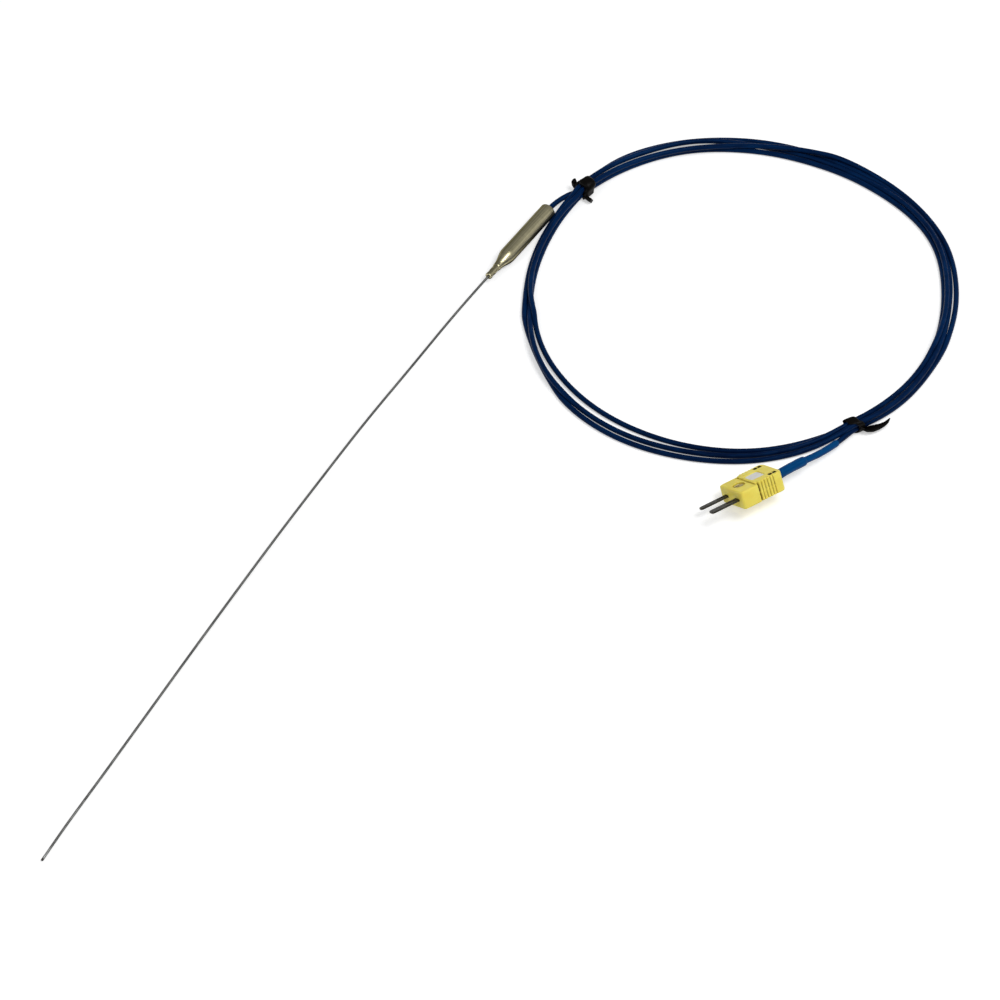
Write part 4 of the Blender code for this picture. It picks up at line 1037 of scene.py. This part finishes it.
def front_side(half, back):
    """One side of the front block in plan, with its rounded corners, and its hidden rear end."""
    radius = FRONT_CORNER
    side = arc((HOUSING_REACH - back - radius, half - radius), radius, 0, 90, 8)
    side += arc((-FRONT_LENGTH + ROUNDING, half - ROUNDING), ROUNDING, 90, 180, 3)
    inner = half - GRIP_SETBACK - ROUNDING
    return side + [(-FRONT_LENGTH, inner), (-FRONT_LENGTH - 0.0012, inner)]


def block(name, side, hidden, top, edge):
    """A side's plan raised from a hidden height to the top, with a rounded edge at the top."""
    sign = 1 if top > hidden else -1
    fine = 0.00004
    levels = [(hidden, fine), (hidden + sign * fine, 0.0)]
    for i in range(7):
        turn = math.radians(15 * i)
        levels.append((top - sign * edge * (1 - math.sin(turn)), edge * (1 - math.cos(turn))))
    sections = []
    for height, inset in levels:
        sections.append(level(both_sides(side(HALF_HOUSING - inset, inset)), height))
    return lofted(name, sections, sharp=40)


def prism(name, outline, low, high, spread=0.0):
    """An outline raised from low to high, scaled up by the spread about its middle at the top."""
    count = len(outline)
    middle = [sum(point[k] for point in outline) / count for k in (0, 1)]
    wide = [
        (middle[0] + (x - middle[0]) * (1 + spread), middle[1] + (y - middle[1]) * (1 + spread))
        for x, y in outline
    ]
    return lofted(name, [level(outline, low), level(wide, high)])


def rounded_plan(middle, half_long, half_wide, radius, steps=6):
    """A rectangle with rounded corners, in plan."""
    outline = []
    for sx, sy, start in ((1, 1, 0), (-1, 1, 90), (-1, -1, 180), (1, -1, 270)):
        centre = (middle[0] + sx * (half_long - radius), middle[1] + sy * (half_wide - radius))
        outline += arc(centre, radius, start, start + 90, steps)
    return outline


def plug_half(name, hidden, top, rear_top, *tools):
    """One of the plug's two mouldings: a front block and a ribbed rear part, hollow inside."""
    front = block(name + "_front", front_side, hidden, top, FRONT_EDGE)
    rear = block(name + "_rear", grip_side, hidden, rear_top, REAR_EDGE)
    made = added("scratch", front)
    combined(made, "UNION", rear)
    combined(made, "DIFFERENCE", *tools)
    return shaded(taken(made), 38)


def plug_channel():
    """The way in for the lead."""
    radius = LEAD_RADIUS + FINE
    rear = -HOUSING_REAR - CUT_PAST
    front = -CAVITY_REAR + CUT_PAST
    return turned("channel", [(rear, 0.0), (rear, radius), (front, radius), (front, 0.0)], 32)


def pin_plan(width, inset=0.0):
    half = width / 2 - inset
    side = [(-PIN_TAIL + inset, half)]
    for step in range(0, 91, 15):
        a = math.radians(step)
        along = PIN_LENGTH - inset - PIN_TIP * (1 - math.sin(a))
        side.append((along, half - PIN_TIP * 0.75 * (1 - math.cos(a))))
    return both_sides(side)


def make_pin(pole, sign):
    """A flat pin with broken edges and a shallow sunk panel near its root, on both faces."""
    width = PIN_WIDTHS[pole]
    thick = PIN_HALF_THICKNESS
    edge = PIN_EDGE
    y = sign * PIN_SPACING / 2
    sections = []
    for height, inset in ((-thick, edge), (-thick + edge, 0), (thick - edge, 0), (thick, edge)):
        sections.append([(x, y + p, height) for x, p in pin_plan(width, inset)])
    made = added("scratch", lofted("pin", sections, sharp=30))
    panel = rounded_plan((PANEL_MIDDLE, y), PANEL_HALF_LENGTH, width * 0.26, ROUNDING, 3)
    ring = arc((-TERMINAL_SETBACK, y), TERMINAL_SHANK / 2 + 0.0002, 0, 337.5, 15)
    combined(
        made,
        "DIFFERENCE",
        prism("panel", panel, thick - PANEL_DEPTH, thick + 0.0002, WALL_TAPER),
        prism("panel", panel, -thick + PANEL_DEPTH, -thick - 0.0002, WALL_TAPER),
        prism("hole", ring, -CUT_PAST, CUT_PAST),
    )
    mesh = shaded(taken(made), 30)
    place("contact_" + pole, mesh, PLUG, PIN, "pin_alloy", "pin_" + pole)


def make_cover_screw():
    """A slotted screw with a domed head, low in its recess."""
    seat = PLUG_HALF_HEIGHT - COVER_RECESS_DEPTH
    radius = COVER_SCREW_RADIUS
    shank = SCREW_SHANK_RADIUS
    outline = [(-SCREW_REACH, 0.0), (-SCREW_REACH, 0.0006), (-0.0042, shank), (0.00002, shank)]
    outline += [(0.00002, radius - FINE), (FINE, radius), (0.0005, radius)]
    for turn in (20, 40, 60, 80):
        lean = math.radians(turn)
        inset = ROUNDING * (1 - math.cos(lean))
        outline.append((0.0005 + ROUNDING * math.sin(lean), radius - inset))
    outline += [(0.00086, radius * 0.5), (0.00088, 0.0)]
    mesh = turned("screw", outline, 48)
    upright = Matrix.Rotation(-math.pi / 2, 4, "Y")
    mesh.transform(Matrix.Translation((-COVER_SCREW_SETBACK, 0, seat)) @ upright)
    made = added("scratch", mesh)
    slot = box("slot", (-0.0065, -ROUNDING, seat + 0.00038), (-0.0013, ROUNDING, seat + 0.002))
    combined(made, "DIFFERENCE", slot)
    mesh = shaded(taken(made), 35)
    place("cap_screw", mesh, PLUG, PASSIVATED, "fastener_metal", "cover_screw")


def pin_pockets(side):
    """Room for the pins in the lower half, side -1, or in the cover, side 1."""
    low, high = sorted((-side * 0.0005, side * (PIN_HALF_THICKNESS + POCKET_GAP)))
    pockets = []
    for pole, sign in POLES:
        middle = sign * PIN_SPACING / 2
        half = PIN_WIDTHS[pole] / 2
        near = (-PIN_TAIL - 0.0002, middle - half - POCKET_GAP, low)
        pockets.append(box("pocket", near, (0.002, middle + half + POCKET_GAP, high)))
    return pockets


def wire_room(low, high):
    """The hollow for the cores and the terminal screws, between two heights."""
    near = (-CAVITY_REAR, -CAVITY_HALF_WIDTH, low)
    return box("hollow", near, (-CAVITY_FRONT, CAVITY_HALF_WIDTH, high))


def label_plate(low):
    """The plate in its window, with a fine edge at the top."""
    plan = rounded_plan(
        (LABEL_MIDDLE, 0), LABEL_HALF_LENGTH - FINE, LABEL_HALF_WIDTH - FINE, LABEL_CORNER - FINE
    )
    sections = []
    for height, shrink in ((low, 1.0), (low + 0.00022, 1.0), (low + PLATE_THICKNESS, 0.975)):
        shrunk = [(LABEL_MIDDLE + (x - LABEL_MIDDLE) * shrink, y * shrink) for x, y in plan]
        sections.append(level(shrunk, height))
    return lofted("plate", sections)


def make_plug():
    """The two mouldings, the label plate, the screw and the pins."""
    top = PLUG_HALF_HEIGHT + REAR_RISE
    past = top + CUT_PAST
    hole_ring = arc((-COVER_SCREW_SETBACK, 0), SCREW_HOLE_RADIUS, 0, 348.75, 31)
    base = plug_half(
        "housing_base", -HAIRLINE, -PLUG_HALF_HEIGHT, -PLUG_HALF_HEIGHT,
        *pin_pockets(-1), wire_room(-CAVITY_FLOOR, CUT_PAST), plug_channel(),
        prism("hole", hole_ring, -0.0029, CUT_PAST),
    )
    recess_ring = arc((-COVER_SCREW_SETBACK, 0), COVER_RECESS_RADIUS, 0, 352.5, 47)
    recess_floor = PLUG_HALF_HEIGHT - COVER_RECESS_DEPTH
    label_plan = rounded_plan((LABEL_MIDDLE, 0), LABEL_HALF_LENGTH, LABEL_HALF_WIDTH, LABEL_CORNER)
    label_floor = top - LABEL_RECESS
    slots = []
    for side in (-1, 1):
        for part in (-1, 1):
            half = (SLOT_HALF_LENGTH - SLOT_BRIDGE / 2) / 2
            middle = SLOT_MIDDLE + part * (SLOT_BRIDGE / 2 + half)
            plan = rounded_plan((middle, side * SLOT_OFFSET), half, SLOT_HALF_WIDTH, ROUNDING, 3)
            slots.append(prism("slot", plan, 0.0010, past))
    cover = plug_half(
        "housing_cover", HAIRLINE, PLUG_HALF_HEIGHT, top,
        *pin_pockets(1), wire_room(-CUT_PAST, CAVITY_TOP), plug_channel(),
        prism("hole", hole_ring, -CUT_PAST, 0.0035),
        prism("recess", recess_ring, recess_floor, past, RECESS_TAPER),
        prism("window", label_plan, label_floor, top + FINE, WALL_TAPER),
        *slots,
    )
    place("housing_cover", cover, PLUG, YELLOW, "plug_yellow", "plug_cover")
    # Painted shade: the faces inside the rear slots take the near-black slot finish.
    cover.materials.append(PAINTED_SLOT_SHADE)
    for face in cover.polygons:
        x, y, z = face.center
        along = abs(x - SLOT_MIDDLE) < SLOT_HALF_LENGTH + HAIRLINE
        across = abs(abs(y) - SLOT_OFFSET) < SLOT_HALF_WIDTH + HAIRLINE
        if along and across and z < top - REAR_EDGE / 2:
            face.material_index = 1
    place("housing_base", base, PLUG, YELLOW, "plug_yellow", "plug_base")
    place("write_on_plate", label_plate(label_floor), PLUG, LABEL, "label_pale", "label_panel")
    make_cover_screw()
    for pole, sign in POLES:
        make_pin(pole, sign)


# Finish on the CAD nodes that stay

CAD_FINISHES = [("potting_fill", RESIN)]
for pole, metal in (("positive", COPPER), ("negative", NICKEL)):
    for name in ("element_wire", "lead_core", "plug_core"):
        CAD_FINISHES.append((f"{name}_{pole}", metal))
    for name in ("splice", "terminal_screw"):
        CAD_FINISHES.append((f"{name}_{pole}", PLATED))
for name, finish in CAD_FINISHES:
    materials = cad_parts[name].data.materials
    materials.clear()
    materials.append(finish)

make_sheath()
make_pot()
lead_points = lead_route()
lead = make_lead(lead_points)
make_sleeves(lead_points)
make_ties()
make_plug()

# Camera: 45 degrees above the floor

TARGET = PROBE @ Vector((-0.1041, -0.0705, 0.0))
FORWARD = Vector((0.6005, 0.3734, -0.7071)).normalized()
RIGHT = Vector((0.528, -0.849, 0.0)).normalized()
UP = RIGHT.cross(FORWARD)
camera_data = bpy.data.cameras.new("camera")
camera_data.lens = CAMERA_LENS
camera_data.sensor_width = 36
camera_data.clip_end = 50
camera = added("camera", camera_data)
facing = Matrix((RIGHT, UP, -FORWARD)).transposed().to_4x4()
camera.matrix_world = Matrix.Translation(TARGET - FORWARD * CAMERA_DISTANCE) @ facing
bpy.context.scene.camera = camera

# Floor

reach = FLOOR_HALF_SIZE
floor_corners = ((-reach, -reach), (reach, -reach), (reach, reach), (-reach, reach))
floor_mesh = lofted("floor", [level(floor_corners, -0.01), level(floor_corners, 0)])
floor = added("floor", floor_mesh)
floor_finish = Finish("floor_white")
floor_finish.set(Base_Color=(0.8, 0.8, 0.8, 1), Roughness=0.9, Specular_IOR_Level=0.0)
floor_finish.set(Emission_Color=(1, 1, 1, 1))
rays = floor_finish.node("ShaderNodeLightPath").outputs
seen = floor_finish.math("ADD", rays["Is Camera Ray"], rays["Is Glossy Ray"])
seen = floor_finish.math("ADD", seen, rays["Is Transmission Ray"])
floor_finish.set(Emission_Strength=floor_finish.math("MULTIPLY", seen, FLOOR_GLOW))
floor_mesh.materials.append(floor_finish.material)

# Light

world = bpy.data.worlds.new("world")
bpy.context.scene.world = world
world.use_nodes = True
background = world.node_tree.nodes["Background"]
background.inputs["Color"].default_value = SKY_COLOUR
background.inputs["Strength"].default_value = SKY_STRENGTH
away = Vector((FORWARD.x, FORWARD.y, 0)).normalized()
for name, azimuth, elevation, distance, size, radiance in LAMPS:
    turn = math.radians(azimuth)
    rise = math.radians(elevation)
    aim = RIGHT * math.cos(turn) + away * math.sin(turn)
    direction = aim * math.cos(rise) + Vector((0, 0, math.sin(rise)))
    light = bpy.data.lights.new(name, "AREA")
    light.shape = "SQUARE"
    light.size = size
    light.energy = math.pi * radiance * size * size
    lamp = added(name, light)
    lamp.location = TARGET + direction * distance
    lamp.rotation_euler = direction.to_track_quat("Z", "Y").to_euler()

bpy.context.scene.view_settings.view_transform = "Standard"
